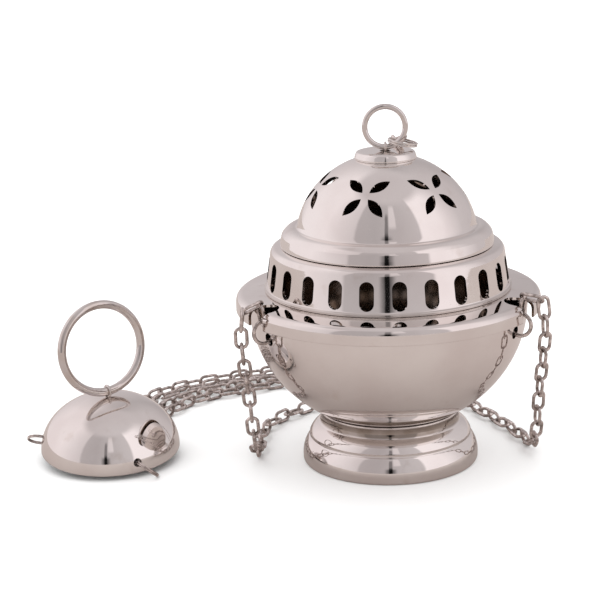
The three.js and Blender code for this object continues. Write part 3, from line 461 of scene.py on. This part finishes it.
pan, pan_line = turned("charcoal_dish", [
    (0, pan_seat - 15, 0), (34.6, pan_seat - 15, 1.5), (37, pan_seat - 13.5, 1.2), (47, pan_seat, 1.5),
    (53, pan_seat, 0.3), (54, pan_seat + 0.3, 0.3), (54, pan_seat + 0.9, 0.3), (53, pan_seat + 1.2, 0.3),
    (45.8, pan_seat + 1.2, 1.5), (35.8, pan_seat - 12.3, 1.2), (33.4, pan_seat - 13.8, 1.5),
    (0, pan_seat - 13.8, 0),
], 128)
polished(pan, pan_line)
placed(pan, on_axis, "pan", "charcoal_pan", pan_metal())

# Lid's brim
# A flat ring of sheet with its edge turned down over the bowl, and three round-ended notches for the chains.
lid_seat, lid_sheet, brim_fall = 78.14, 1.1, 0.11
brim_hole, band_inside, brim_edge, band_drop = 52.45, 66.7, 67.8, 7.3


def brim_top(radius):
    """The brim's upper side, which falls outwards. Its underside is at lid_seat over the bowl's rim."""
    return lid_seat + lid_sheet + brim_fall * (bowl_radius - radius)


brim, brim_line = turned("lid_brim_plate", [
    (brim_hole, brim_top(brim_hole) - lid_sheet, 0.2), (band_inside, brim_top(band_inside) - 1.15, 4.3),
    (band_inside, brim_top(brim_edge) - band_drop, 0.4), (brim_edge, brim_top(brim_edge) - band_drop, 0.5),
    (brim_edge, brim_top(brim_edge), 5.4), (brim_hole, brim_top(brim_hole), 0.2),
], 200)
notch_half = 6
notch_centre = 56.6 + notch_half
past_edge = notch_centre + 20
notch = [(past_edge, -notch_half), (past_edge, notch_half)]
for t in np.linspace(math.pi / 2, 1.5 * math.pi, 25):
    notch.append((notch_centre + notch_half * math.cos(t), notch_half * math.sin(t)))
cutters = [
    (notch, Matrix.Rotation(math.radians(azimuth), 4, "Z"))
    for azimuth in notch_azimuths.values()
]
cut_out(brim, prisms(cutters, 60, 95))
polished(brim, brim_line)
placed(brim, on_axis, "lid", "lid_brim", spun_nickel)

# Lid's drum
# A slightly conical wall with 24 punched upright slots, a bead at its foot and a rounded shoulder above.
drum_base, drum_top = 80.53, 100.03
drum, drum_line = turned("lid_drum_wall", [
    (53.0, drum_base - 0.3, 0.2), (54.8, drum_base - 0.42, 0.35), (55.1, drum_base + 0.6, 0.5),
    (54.1, drum_base + 1.4, 0.3),
    (51.8, drum_top - 2.5, 1.3), (50.6, drum_top - 0.9, 0.9), (46.0, drum_top, 1.5),
    (43.0, drum_top, 0.2), (43.0, drum_top - 1.1, 0.2), (50.1, drum_top - 2.5, 1.5),
], 192)
slot_length, slot_width, slot_count = 12.4, 6.3, 24
slot_middle = drum_base + 1.9 + slot_length / 2
cutters = []
for i in range(slot_count):
    turn = Matrix.Rotation(math.radians(-87.5 + 360 / slot_count * i), 4, "Z")
    upright = turn @ Matrix.Translation((0, 0, slot_middle * mm)) @ sideways
    cutters.append((slot_outline(slot_length, slot_width), upright))
cut_out(drum, prisms(cutters, 46, 60))
polished(drum, drum_line)
# Painted shade on the drum's bead at its foot, where it meets the brim
placed(drum, on_axis, "lid", "lid_drum", nickel_plate("nickel_drum", painted_shade_band=(79, 81.8, 0.4)))

# Lid's dome
# Spun with a broad step at its foot and punched with six flowers of four pointed petals.
dome_base = 100.33
dome_centre = dome_base + 4.5 + 3.3 - 6.5
dome_radius, dome_rise = 40.3, 38
inner_radius, inner_rise = 39.2, 36.9
step_top = dome_base + 7.8
skirt = math.degrees(math.asin((step_top - dome_centre) / dome_rise))
step_inner = dome_radius * math.cos(math.radians(skirt))
dome, dome_line = turned("lid_dome_shell", [
    (46.4, dome_base - 0.28, 0.2), (47.5, dome_base - 0.28, 0.5), (47.3, dome_base + 1.2, 1.4),
    (46.5, dome_base + 4.5, 0.7), *arc((46.2, dome_base + 4.9), (step_inner + 0.9, step_top - 0.15), 0.9),
    (step_inner + 0.3, step_top, 0.5),
    *ellipse(dome_radius, dome_rise, dome_centre, skirt + 1.5, 88, 64),
    (1.3, dome_centre + dome_rise, 0.1), (1.3, dome_centre + inner_rise, 0.1),
    *ellipse(inner_radius, inner_rise, dome_centre, 88, skirt, 50),
    *arc((step_inner - 0.2, step_top - 1.1), (45.4, dome_base + 4), -0.8),
], 192)
flower_level = dome_base + 26.4
flower_rise = (flower_level - dome_centre) / dome_rise
flower_radius = dome_radius * math.sqrt(1 - flower_rise ** 2)
flower_lean = math.atan2(dome_radius * flower_rise, dome_rise * math.sqrt(1 - flower_rise ** 2))
petal_half, petal_bulge, petal_out, petal_steps = 5.2, 2.25, 7.4, 16
petal = []
for side in (1, -1):
    for k in range(petal_steps):
        x = petal_half * (1 - 2 * k / petal_steps) * side
        petal.append((x, side * petal_bulge * (1 - (x / petal_half) ** 2)))
outwards = Matrix.Translation((petal_out * mm, 0, 0))
cutters = []
for i in range(6):
    around = Matrix.Rotation(math.radians(-110 + 60 * i), 4, "Z")
    flower = around @ Matrix.Translation((flower_radius * mm, 0, flower_level * mm))
    flower = flower @ Matrix.Rotation(math.pi / 2 - flower_lean, 4, "Y")
    for k in range(4):
        cutters.append((petal, flower @ Matrix.Rotation(math.radians(45 + 90 * k), 4, "Z") @ outwards))
cut_out(dome, prisms(cutters, -5, 5))
polished(dome, dome_line)
placed(dome, on_axis, "lid", "lid_dome", spun_nickel)

# Lid's collar
# A small stepped plate under the eye, soldered to the dome's top.


def dome_height(radius):
    return dome_centre + dome_rise * math.sqrt(1 - (radius / dome_radius) ** 2)


collar_top = dome_height(0) + 1.44
rim = dome_height(13.7) + 0.3
collar, collar_line = turned("lid_collar_plate", [
    (2.4, dome_height(3.4) + 0.05, 0.1), (7.5, dome_height(7.5) + 0.05, 0.5),
    (13.4, dome_height(13.4) + 0.05, 0.2), (13.7, rim + 0.5, 0.5), (13.2, rim + 2.3, 0.4),
    (12.7, collar_top - 0.3, 0.7), (11.2, collar_top, 0.5), (2.4, collar_top, 0.3),
], 96)
polished(collar, collar_line)
placed(collar, on_axis, "lid", "lid_collar", nickel_plate("nickel_collar", waves=0.4))

# Lid's eye pin
# One wire bent to a loop, its two strands side by side through the collar and the dome, and its legs spread
# below them.


def smooth(points, step):
    """Close-set points of a centripetal curve through points."""
    points = [np.array(p, float) for p in points]
    points = [2 * points[0] - points[1], *points, 2 * points[-1] - points[-2]]
    line = []
    for before, start, end, after in zip(points, points[1:], points[2:], points[3:]):
        knots = [0.0]
        for a, b in ((before, start), (start, end), (end, after)):
            knots.append(knots[-1] + max(np.linalg.norm(b - a), 1e-6) ** 0.5)
        _, k1, k2, _ = knots
        count = max(2, int(np.linalg.norm(end - start) / step))
        for k in np.linspace(k1, k2, count, endpoint=False):
            row = [before, start, end, after]
            for level in (1, 2, 3):
                for i in range(4 - level):
                    low = knots[i] if level < 3 else k1
                    high = knots[i + level] if level < 3 else k2
                    share = (k - low) / (high - low)
                    row[i] = row[i] * (1 - share) + row[i + 1] * share
            line.append(row[0])
    line.append(points[-2])
    return np.array(line)


def wire_loop(places, normals, radius, sides=10, closed=True):
    """Points and faces of a round wire through places, each with a normal that stays across the wire."""
    count = len(places)
    places, normals = np.array(places), np.array(normals)
    if closed:
        heading = np.roll(places, -1, 0) - np.roll(places, 1, 0)
    else:
        heading = np.gradient(places, axis=0)
    heading /= np.linalg.norm(heading, axis=1)[:, None]
    normals = normals - heading * (normals * heading).sum(1)[:, None]
    normals /= np.linalg.norm(normals, axis=1)[:, None]
    side = np.cross(heading, normals)
    turns = np.arange(sides) * 2 * math.pi / sides
    around = np.cos(turns)[None, :, None] * normals[:, None] + np.sin(turns)[None, :, None] * side[:, None]
    points = (places[:, None] + around * radius).reshape(-1, 3)
    faces = []
    for i in range(count if closed else count - 1):
        j = (i + 1) % count
        for k in range(sides):
            m = (k + 1) % sides
            faces.append((i * sides + k, i * sides + m, j * sides + m, j * sides + k))
    if not closed:
        faces.append(tuple(range(sides - 1, -1, -1)))
        faces.append(tuple(range((count - 1) * sides, count * sides)))
    return points, faces


def wire_piece(name, loops):
    """One object of several wires, each the points and faces that wire_loop gives."""
    points, faces, base = [], [], 0
    for loop_points, loop_faces in loops:
        points.extend(loop_points.tolist())
        faces.extend([tuple(i + base for i in face) for face in loop_faces])
        base += len(loop_points)
    mesh = bpy.data.meshes.new(name)
    mesh.from_pydata(points, [], faces)
    mesh.validate()
    mesh.polygons.foreach_set("use_smooth", [True] * len(mesh.polygons))
    mesh.set_sharp_from_angle(angle=math.radians(50))
    piece = bpy.data.objects.new(name, mesh)
    bpy.context.scene.collection.objects.link(piece)
    return piece


def eye_pin(name, loop_radius, shank_foot, drop):
    """The pin in its own frame in millimetres: the loop's middle at the origin, standing in the YZ plane. The
    legs spread at shank_foot and fall by drop at their tips."""
    strand, wire_radius = 0.45, 0.52
    gap = math.asin(strand / loop_radius)
    leg = [
        (4.8, strand, shank_foot + 0.6 - drop), (2.4, strand, shank_foot + 0.6 - drop / 2),
        (1.1, strand, shank_foot + 0.7), (0.3, strand, shank_foot + 1.2), (0, strand, shank_foot + 2.2),
    ]
    loop = [
        (0, loop_radius * math.sin(t), -loop_radius * math.cos(t))
        for t in np.linspace(gap + 0.3, 2 * math.pi - gap - 0.3, 24)
    ]
    neck = (0, strand, -loop_radius * math.cos(gap) - 0.3)
    turned_leg = [(-x, -y, z) for x, y, z in reversed([*leg, neck])]
    path = smooth([*leg, neck, *loop, *turned_leg], 0.25)
    wire = wire_loop(path * mm, [(1, 1, 0.3)] * len(path), wire_radius * mm, 12, closed=False)
    return wire_piece(name, [wire])


bright_wire = nickel_plate("nickel_wire", waves=0.15, dull=0.02, spun=False, shade=0.88)
lid_ring_wire = 2.5
lid_ring_axis = collar_top + 0.3 + lid_ring_wire / 2
lid_eye = Matrix.Translation(axis + Vector((0, 0, lid_ring_axis * mm)))
lid_pin = eye_pin("lid_cotter", 1.85, dome_height(0) - 2.6 - lid_ring_axis, 0.59)
placed(lid_pin, lid_eye, "lid", "lid_eye_pin", bright_wire)

# Lid's ring
# A ring of thick round wire, its butt joint brazed and polished, standing in the lid's eye.


def ring_piece(name, diameter, wire, steps=128, sides=24):
    """A plain ring in its own XZ plane, its lowest wire at the origin."""
    radius = (diameter - wire) / 2
    turns = np.arange(steps) * 2 * math.pi / steps
    places = [(radius * math.sin(t) * mm, 0, radius * (1 - math.cos(t)) * mm) for t in turns]
    return wire_piece(name, [wire_loop(places, [(0, 1, 0)] * steps, wire / 2 * mm, sides)])


lid_ring = ring_piece("lid_pull_ring", 20.2, lid_ring_wire)
placed(lid_ring, lid_eye, "lid_ring", "lid_ring", bright_wire)

# Split ring
# Spring wire wound in two flat turns. It hangs on the lid's ring and holds the lid's chain.


def split_ring(name, diameter, wire, start):
    """A coil of wire about its own Z, in millimetres: a turn below, a crossing and a turn above."""
    radius, count = (diameter - wire) / 2, 120
    turns = np.linspace(0.5, 4 * math.pi - 0.5, count)
    levels = np.clip((turns - 2 * math.pi) / 0.45, -1, 1)
    levels = levels * (1.5 - 0.5 * levels ** 2) * wire * 0.52
    places = np.stack([radius * np.cos(turns + start), radius * np.sin(turns + start), levels], 1) * mm
    return wire_piece(name, [wire_loop(places, [(0, 0, 1)] * count, wire / 2 * mm, 12, closed=False)])


split_low, split_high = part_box("lid_split_ring")
coil = split_ring("lid_chain_split_ring", 13.4, 0.9, 2.2)
coil_frame = Matrix.Translation((split_low + split_high) / 2) @ Matrix.Rotation(math.radians(11), 4, "Y")
placed(coil, coil_frame, "lid", "lid_split_ring", bright_wire)

# Bowl's rings
# Three rings of wire, each through its hole in the bowl and out over the rim's cut, plated like the chains.


def chain_metal():
    """Plated wire: a duller, warmer nickel than the polished pieces, grey in patches, with a fine grain."""
    material, tree, place = metal("chain_nickel")
    grey, warm = (0.30, 0.26, 0.24), (0.78, 0.71, 0.68)
    cloud = noise(tree, 420, 6, place["Object"])
    colour = ramp(tree, cloud, [(0.32, grey), (0.62, warm)])
    rough = between(tree, cloud, 0, 1, 0.16, 0.34, "LINEAR")
    grain = noise(tree, 2600, 2, place["Object"])
    surface(tree, colour, rough, bump(tree, grain, 0.12, 0.05 * mm))
    return "chain_nickel", material


chain_finish = chain_metal()
hanger_diameter, hanger_wire = 11.8, 1.7
hanger_low = Matrix.Translation((0, 0, -(hanger_diameter - hanger_wire) / 2 * mm))
for name, azimuth in notch_azimuths.items():
    low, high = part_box(f"bowl_ring_{name}")
    piece = ring_piece(f"bowl_hanger_ring_{name}", hanger_diameter, hanger_wire, 72, 16)
    matrix = Matrix.Translation((low + high) / 2) @ Matrix.Rotation(math.radians(azimuth), 4, "Z")
    placed(piece, matrix @ hanger_low, "burner", f"bowl_ring_{name}", chain_finish)

# Hand cap
# A half dome of spun sheet that gathers the chains: three holes for their rings and one for the eye pin.
cap_radius, cap_rise, cap_hole = 31.7, 25, 4.6
cap_inner_radius, cap_inner_rise, rim_above_table = 30.5, 23.8, 2.3
cap_place = axis + Vector((-128.3, 8, 0)) * mm
tilt, raised_side = math.radians(6.1), math.radians(98)
cap_lift = rim_above_table + cap_radius * math.sin(tilt)
cap_frame = Matrix.Translation(cap_place + Vector((0, 0, cap_lift)) * mm)
cap_frame = cap_frame @ Matrix.Rotation(tilt, 4, Vector((math.sin(raised_side), -math.cos(raised_side), 0)))
cap, cap_line = turned("hand_cap_shell", [
    *ellipse(cap_radius, cap_rise, 0, 0, 88, 56), (1.3, cap_rise, 0.1), (1.3, cap_inner_rise, 0.1),
    *ellipse(cap_inner_radius, cap_inner_rise, 0, 88, 0, 44), (30.8, -0.25, 0.3), (31.4, -0.25, 0.3),
], 160)
cap_azimuths = {"front": -62, "left": 178, "back": 58}
hole_up = Matrix.Translation((0, 0, cap_hole * mm))
cutters = [
    (circle(1.9, 28), Matrix.Rotation(math.radians(azimuth), 4, "Z") @ hole_up @ sideways)
    for azimuth in cap_azimuths.values()
]
cut_out(cap, prisms(cutters, 24, 38))
polished(cap, cap_line)
placed(cap, cap_frame, "hand_cap", "hand_cap", nickel_plate("nickel_cap", waves=0.8))

# Hand cap's eye pin
# Bent from wire like the lid's, with a larger loop, turned so that the hand ring faces half left.
eye_turn = Matrix.Rotation(math.radians(34), 4, "Z")
hand_ring_wire = 3.9
hand_eye = cap_rise + 0.6 + hand_ring_wire / 2
hand_pin = eye_pin("hand_cap_cotter", 2.6, cap_rise - 2.7 - hand_eye, 0.63)
eye_frame = cap_frame @ Matrix.Translation((0, 0, hand_eye * mm)) @ eye_turn
placed(hand_pin, eye_frame, "hand_cap", "hand_eye_pin", bright_wire)

# Cap's rings
# Double-wound rings, each in through its hole and back under the rim, that the chains' last links hang on.
coil_middle, hole_side = 5.4, 2.9
coil_half = math.sqrt(coil_middle ** 2 - hole_side ** 2)
coil_drop = cap_hole + 0.9 + 0.6
coil_run = math.sqrt(4 * coil_half ** 2 - coil_drop ** 2)
wall = cap_radius * math.sqrt(1 - (cap_hole / cap_rise) ** 2) - 0.6
for name, azimuth in cap_azimuths.items():
    way = -1 if name == "left" else 1
    local = Matrix.Rotation(math.radians(azimuth), 4, "Z")
    local = local @ Matrix.Translation(Vector((wall, 0, cap_hole)) * mm)
    local = local @ Matrix.Rotation(way * math.asin(coil_run / 2 / cap_radius), 4, "Z")
    local = local @ Matrix.Rotation(-way * math.asin(coil_drop / 2 / coil_half), 4, "X")
    local = local @ Matrix.Translation(Vector((hole_side, way * coil_half, 0)) * mm)
    piece = split_ring(f"cap_split_ring_{name}", 12, 0.72, 3.4)
    placed(piece, cap_frame @ local, "hand_cap", f"cap_ring_{name}", chain_finish)

# Hand ring
# The large ring of thick wire that the burner is carried by, standing in the cap's eye.
hand_ring = ring_piece("hand_hold_ring", 44, hand_ring_wire, 160, 32)
eye_place = cap_frame @ Vector((0, 0, hand_eye * mm))
ring_lean = Matrix.Rotation(math.radians(-5.6), 4, "X") @ Matrix.Rotation(math.radians(-2.2), 4, "Y")
placed(
    hand_ring, Matrix.Translation(eye_place) @ eye_turn @ ring_lean,
    "hand_ring", "hand_ring", nickel_plate("nickel_hand_ring", waves=0.3, spun=False, shade=0.85),
)

# Chains
# Oval links of soldered wire, nickel-plated. Three chains come out of the lid's notches and one off the lid,
# go down to the table and behind the foot, lie in one fold there, and end under the hand cap.
link_length, link_width, link_wire = 11.5 * mm, 6.4 * mm, 1.55 * mm
link_half = (link_length - link_wire) / 2
link_reach = link_half - link_wire + 0.15 * mm
laid = 2.8
chain_spacing = 7.5


def on_table(*places):
    """Points of a chain that lies on the table, from its (x, y) places in millimetres."""
    return [(x, y, laid) for x, y in places]


def chain_line(points):
    """Close-set points of a chain's way from points in millimetres, in the row frame in metres."""
    line = smooth(points, 0.4) * mm + np.array(axis)
    line[:, 2] = np.maximum(line[:, 2], laid * mm)
    return line


def lay_links(line, first, level):
    """Each link's centre, direction and width direction, hooked one after another along the line. By turns
    they lean 45 degrees to either side of level."""
    frames = [tuple(Vector(v) for v in one) for one in first]
    centre, along, _ = frames[-1]
    reference = Vector(level)
    cursor, stride, number = 0, link_half + link_reach, 0
    while True:
        hook = centre + along * link_half
        while cursor < len(line) and (Vector(line[cursor]) - hook).length < stride:
            cursor += 1
        if cursor >= len(line):
            return frames
        onward = (Vector(line[cursor]) - hook).normalized()
        reference.rotate(along.rotation_difference(onward))
        reference = (reference - onward * reference.dot(onward)).normalized()
        along = onward
        centre = hook + along * link_reach
        lean = math.radians(45 if number % 2 == 0 else -45)
        across = reference * math.cos(lean) + along.cross(reference) * math.sin(lean)
        frames.append((centre, along, across))
        number += 1


def link_loop(centre, along, across):
    """One link's wire, lifted where it would dip into the table."""
    bend = (link_width - link_wire) / 2
    straight = link_half - bend
    normal = along.cross(across).normalized()
    places = []
    for end in (1, -1):
        for i in range(9):
            angle = (i / 8 - 0.5) * math.pi + (math.pi if end < 0 else 0)
            x = end * straight + bend * math.cos(angle)
            places.append(centre + along * x + across * (bend * math.sin(angle)))
    sunk = max(0, link_wire / 2 - min(place.z for place in places))
    places = [place + Vector((0, 0, sunk)) for place in places]
    return wire_loop(places, [normal] * len(places), link_wire / 2, 8)


fold_sides = {"left": 0, "back": 1, "lid": 2, "right": 3}

# The routes in millimetres from the foot's centre: from the notch or the lid down to the table,
# then behind the foot to the fold
routes = {
    "left": [
        (-65.0, -35.7, 69), (-62.8, -21, 36), (-61.2, -8, 9), (-60.4, 0, 3.8),
        *on_table((-59.6, 12), (-58.4, 31), (-51.5, 49), (-39.6, 62.6), (-21, 77.5)),
        *on_table((-3, 87), (11, 96), (18.6, 108), (20.9, 120)),
    ],
    "right": [
        (65.6, -35.6, 69), (65, -21, 36), (65, -8, 9), (64.4, 1, 3.8),
        *on_table((62.4, 12), (57, 29), (47.6, 52), (41.5, 66)),
        *on_table((40.6, 80), (42.6, 95), (43.4, 108), (43.4, 120)),
    ],
    "back": [
        (0, 76.4, 69), (0, 75.8, 40), (0.3, 75.6, 12), (3, 76.2, 4),
        *on_table((10, 78.6), (19, 86), (26.2, 98), (28.4, 110), (28.4, 120)),
    ],
    "lid": [
        (19.5, 71, 5.3), (24, 76, 3.2), *on_table((31, 86), (35, 98), (35.9, 110), (35.9, 120)),
    ],
}

# The lid's chain comes down the back of the lid, close over the dome, the step, the drum and the brim
lid_way = math.radians(76)
for radius, height in [
    (72.6, 12.5), (73, 40), (73.2, 66.6), (72.6, 77.6), (67.5, 83.6), (61.7, 88), (57.7, 92.5),
    (54.1, 100.8), (50.9, 107.6), (44.2, 111.9), (38.5, 120.9), (30, 133.4), (22, 142.1),
]:
    routes["lid"].insert(0, (radius * math.cos(lid_way), radius * math.sin(lid_way), height))

# The four lie side by side in one fold behind the bowl: away, round a half turn, back, and off to the left
fold_line, fold_start, fold_turn, fold_back, fold_exit = 7.9, 120, 189.2, 167, 144
middle = 13 + 1.5 * chain_spacing
for name, side in fold_sides.items():
    offset = (1.5 - side) * chain_spacing
    fold = [(fold_line + middle - offset, fold_start + 20 * i) for i in range(4)]
    for turn in (math.pi * i / 7 for i in range(8)):
        fold.append((
            fold_line + (middle - offset) * math.cos(turn),
            fold_turn + (middle - offset) * math.sin(turn),
        ))
    fold.append((fold_line - middle + offset, fold_back))
    for turn in (-math.pi / 2 * i / 4 for i in range(5)):
        fold.append((
            fold_line - 2 * middle + (middle + offset) * math.cos(turn),
            fold_exit + (middle + offset) * math.sin(turn),
        ))
    routes[name].extend(on_table(*fold))

# Side by side to the hand cap, in at its raised rim, the bundle's sixth point, and each to what holds it
bundle = [(-56, 115.5), (-71, 109.5), (-87, 101.5), (-102.5, 89), (-113.5, 72.5), (-120, 55.5), (-122.3, 44)]
cap_ends = {
    "left": [(-111.7, 39, 3.4), (-113.2, 29.2, 6.6)],
    "back": [*on_table((-119.3, 28), (-118.8, 8)), (-115.3, -14.8, 3.8)],
    "lid": [*on_table((-126.8, 28)), (-127.3, 16, 6.8), (-127.5, 7.6, 17.8), (-127.7, 6.1, 27)],
    "right": [*on_table((-135.3, 30), (-142.4, 20)), (-155.7, 11.6, 5.6)],
}
far_routes = {}
for name, side in fold_sides.items():
    offset = (1.5 - side) * chain_spacing
    far_routes[name] = []
    for i, (x, y) in enumerate(bundle):
        before, after = bundle[max(0, i - 1)], bundle[min(len(bundle) - 1, i + 1)]
        dx, dy = after[0] - before[0], after[1] - before[1]
        size = math.hypot(dx, dy)
        far_routes[name].extend(on_table((x - dy / size * offset, y + dx / size * offset)))
    far_routes[name].extend(cap_ends[name])


def notch_links(name):
    """The first two links: one stands in the notch on the bowl's ring, one lies out over the lid's edge."""
    ring_low, ring_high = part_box(f"bowl_ring_{name}")
    turn = math.radians(notch_azimuths[name])
    out = Vector((math.cos(turn), math.sin(turn), 0))
    beside = Vector((-out.y, out.x, 0))
    ring_middle = (ring_low + ring_high) / 2
    ring_wire, bite = 1.8 * mm, 0.48 * mm
    standing = ring_high.z - ring_wire - bite - link_wire / 2 + link_half
    lean = math.radians(11)
    rising = Vector((0, 0, math.cos(lean))) + out * math.sin(lean)
    foothold = Vector((ring_middle.x, ring_middle.y, standing - link_half))
    upright = foothold + rising * link_half
    slope, roll = (-4, -45) if name == "right" else (-15, 45)
    slope, roll = math.radians(slope), math.radians(roll)
    heading = out * math.cos(slope) + Vector((0, 0, math.sin(slope)))
    tip = Vector((0, 0, math.cos(slope))) - out * math.sin(slope)
    leaning = tip * math.cos(roll) + beside * math.sin(roll)
    lying = upright + rising * link_half + heading * link_reach
    return [(upright, rising, beside), (lying, heading, leaning)]


def hooked_on_split_ring():
    """The first link of the lid's chain, through the split ring's far side."""
    low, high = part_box("lid_split_ring")
    ring_wire, slack = 1.7 * mm, 0.6 * mm
    hold = Vector(((low.x + high.x) / 2, high.y - ring_wire / 2, (low.z + high.z) / 2))
    target = Vector(routes["lid"][0]) * mm + axis
    away = (target - hold).normalized()
    place = hold + away * (link_half - link_wire / 2 - ring_wire / 2 - slack)
    width = Vector((1, 0, 1))
    return [(place, away, (width - away * width.dot(away)).normalized())]


def add_chain(name, frames, body, node):
    """One stretch of chain: its links as one piece in the chain's material, on its body if one is given,
    in the CAD node's stead."""
    piece = wire_piece(name, [link_loop(*one) for one in frames])
    piece.data.materials.append(chain_finish[1])
    if body:
        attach(piece, body)
    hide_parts(node)
    return piece


# The lid's hanging chain ends where the fold turns
lid_turn_start = axis + Vector((35.9, 185, laid)) * mm
for name in fold_sides:
    first = hooked_on_split_ring() if name == "lid" else notch_links(name)
    level = (math.cos(lid_way), math.sin(lid_way), 1) if name == "lid" else (1, 0, 0)
    start = [tuple((first[-1][0] + first[-1][1] * link_half - axis) / mm)]
    whole_route = start + routes[name] + far_routes[name]
    frames = lay_links(chain_line(whole_route), first, level)
    bundle_start = axis + Vector(far_routes[name][0]) * mm
    nearest = min(range(len(frames)), key=lambda i: (frames[i][0] - bundle_start).length)
    node = "lid_chain" if name == "lid" else f"chain_{name}"
    bundled = add_chain(f"{name}_chain_bundle", frames[nearest:], None, f"{node}_laid")
    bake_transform(bundled)
    if name == "lid":
        fold_link = min(range(nearest), key=lambda i: (frames[i][0] - lid_turn_start).length)
        hanging = add_chain("lid_chain_hanging", frames[:fold_link], None, node)
        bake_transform(hanging)
        add_chain("lid_chain_fold", frames[fold_link:nearest], "burner", f"{node}_laid")
    else:
        add_chain(f"{name}_chain", frames[:nearest], "burner", node)

# Floor and light
# A white table in a light tent: white walls all round and above, a greyer front wall on the camera's side
# with the dark gap that the lens looks through, all of which the polished metal shows.
floor_mesh = bpy.data.meshes.new("floor")
floor_mesh.from_pydata([(-3, -3, 0), (3, -3, 0), (3, 3, 0), (-3, 3, 0)], [], [(0, 1, 2, 3)])
floor = bpy.data.objects.new("floor", floor_mesh)
bpy.context.scene.collection.objects.link(floor)
floor.location.z = -0.05 * mm
floor_paint = bpy.data.materials.new("floor")
floor_paint.use_nodes = True
coat = floor_paint.node_tree
paint = coat.nodes["Principled BSDF"]
ray = coat.nodes.new("ShaderNodeLightPath")
# In the metal the table shows darker and warmer than it is: painted shade, for the table lying in the
# burner's shade
table_in_shade, itself = (0.405, 0.35, 0.33), (0.9, 0.9, 0.9)
feed(coat, paint.inputs["Base Color"], mixed(coat, ray.outputs["Is Glossy Ray"], itself, table_in_shade))
feed(coat, paint.inputs["Roughness"], 0.9)
floor.data.materials.append(floor_paint)

world = bpy.data.worlds.new("tent")
bpy.context.scene.world = world
bpy.context.scene.view_settings.view_transform = "Standard"
world.use_nodes = True
sky = world.node_tree
direction = sky.nodes.new("ShaderNodeSeparateXYZ")
feed(sky, direction.inputs[0], sky.nodes.new("ShaderNodeTexCoord").outputs["Generated"])


def band(value, middle, half, edge):
    """1 up to half away from the middle and 0 beyond, with a soft edge."""
    off = maths(sky, "ABSOLUTE", maths(sky, "SUBTRACT", value, middle))
    return maths(sky, "SUBTRACT", 1, between(sky, off, half - edge, half + edge))


def plain_light(strength):
    """White light, the same from every side."""
    light = sky.nodes.new("ShaderNodeBackground")
    feed(sky, light.inputs["Color"], (1, 1, 1, 1))
    feed(sky, light.inputs["Strength"], strength)
    return light.outputs[0]


def choice(test, otherwise, chosen):
    """One light for the rays that pass the test and another for the rest."""
    node = sky.nodes.new("ShaderNodeMixShader")
    for socket, value in zip(node.inputs, (test, otherwise, chosen)):
        feed(sky, socket, value)
    return node.outputs[0]


# Bearings from the front wall's middle and heights above the table, in degrees
to_degrees = 57.3
east, north, up = direction.outputs
bearing = maths(sky, "ARCTAN2", east, maths(sky, "MULTIPLY", north, -1))
bearing = maths(sky, "MULTIPLY", bearing, to_degrees)
height = maths(sky, "MULTIPLY", maths(sky, "ARCSINE", up), to_degrees)
wall = maths(sky, "SUBTRACT", 1, between(sky, height, 56, 68))

# How bright the cloth is once round the tent, from its back by way of the left wall: a lamp behind the whole
# left wall, a greyer front wall, a lamp behind the front half of the right wall
cloth_levels = [
    (-180, 0.5), (-140, 0.8), (-90, 0.83), (-47, 0.63), (-44, 0.45), (-20, 0.42), (41, 0.53),
    (44, 0.88), (75, 0.85), (110, 0.56), (140, 0.53), (165, 0.42), (180, 0.5),
]
roof, warm_tint = (0.55, 0.55, 0.55), (1.05, 0.965, 0.975)
round_tent = maths(sky, "DIVIDE", maths(sky, "ADD", bearing, 180), 360)
cloth = ramp(sky, round_tent, [((turn + 180) / 360, (bright,) * 3) for turn, bright in cloth_levels])
cloth = mixed(sky, 1, mixed(sky, wall, roof, cloth), warm_tint, "MULTIPLY")

# A brighter strip high in the front wall, the gap that the lens looks through and its stand
strip = maths(sky, "MULTIPLY", band(bearing, 5.5, 5, 1.5), band(height, 44, 15, 4))
tall = maths(sky, "ADD", maths(sky, "MULTIPLY", band(height, 14, 34, 5), 0.55),
             maths(sky, "MULTIPLY", band(height, 2, 18, 6), 0.4))
slit = maths(sky, "MULTIPLY", band(bearing, -3.2, 2.4, 0.9), tall)
stand = maths(sky, "MULTIPLY", band(bearing, -3, 6, 3.5), band(height, 7, 9, 5))
light_level, strip_gain, stand_loss = 1.12, 0.45, 0.7
level = maths(sky, "ADD", light_level, maths(sky, "MULTIPLY", strip, strip_gain))
level = maths(sky, "MULTIPLY", level, maths(sky, "SUBTRACT", 1, slit))
level = maths(sky, "MULTIPLY", level, maths(sky, "SUBTRACT", 1, maths(sky, "MULTIPLY", stand, stand_loss)))

# The metal shows the tent, the table is lit evenly by it, and the photograph's ground is white
tent = sky.nodes["Background"]
feed(sky, tent.inputs["Color"], cloth)
feed(sky, tent.inputs["Strength"], level)
seen = sky.nodes.new("ShaderNodeLightPath").outputs
light = choice(seen["Is Glossy Ray"], plain_light(1.6), tent.outputs[0])
light = choice(seen["Is Camera Ray"], light, plain_light(1))
feed(sky, sky.nodes["World Output"].inputs["Surface"], light)
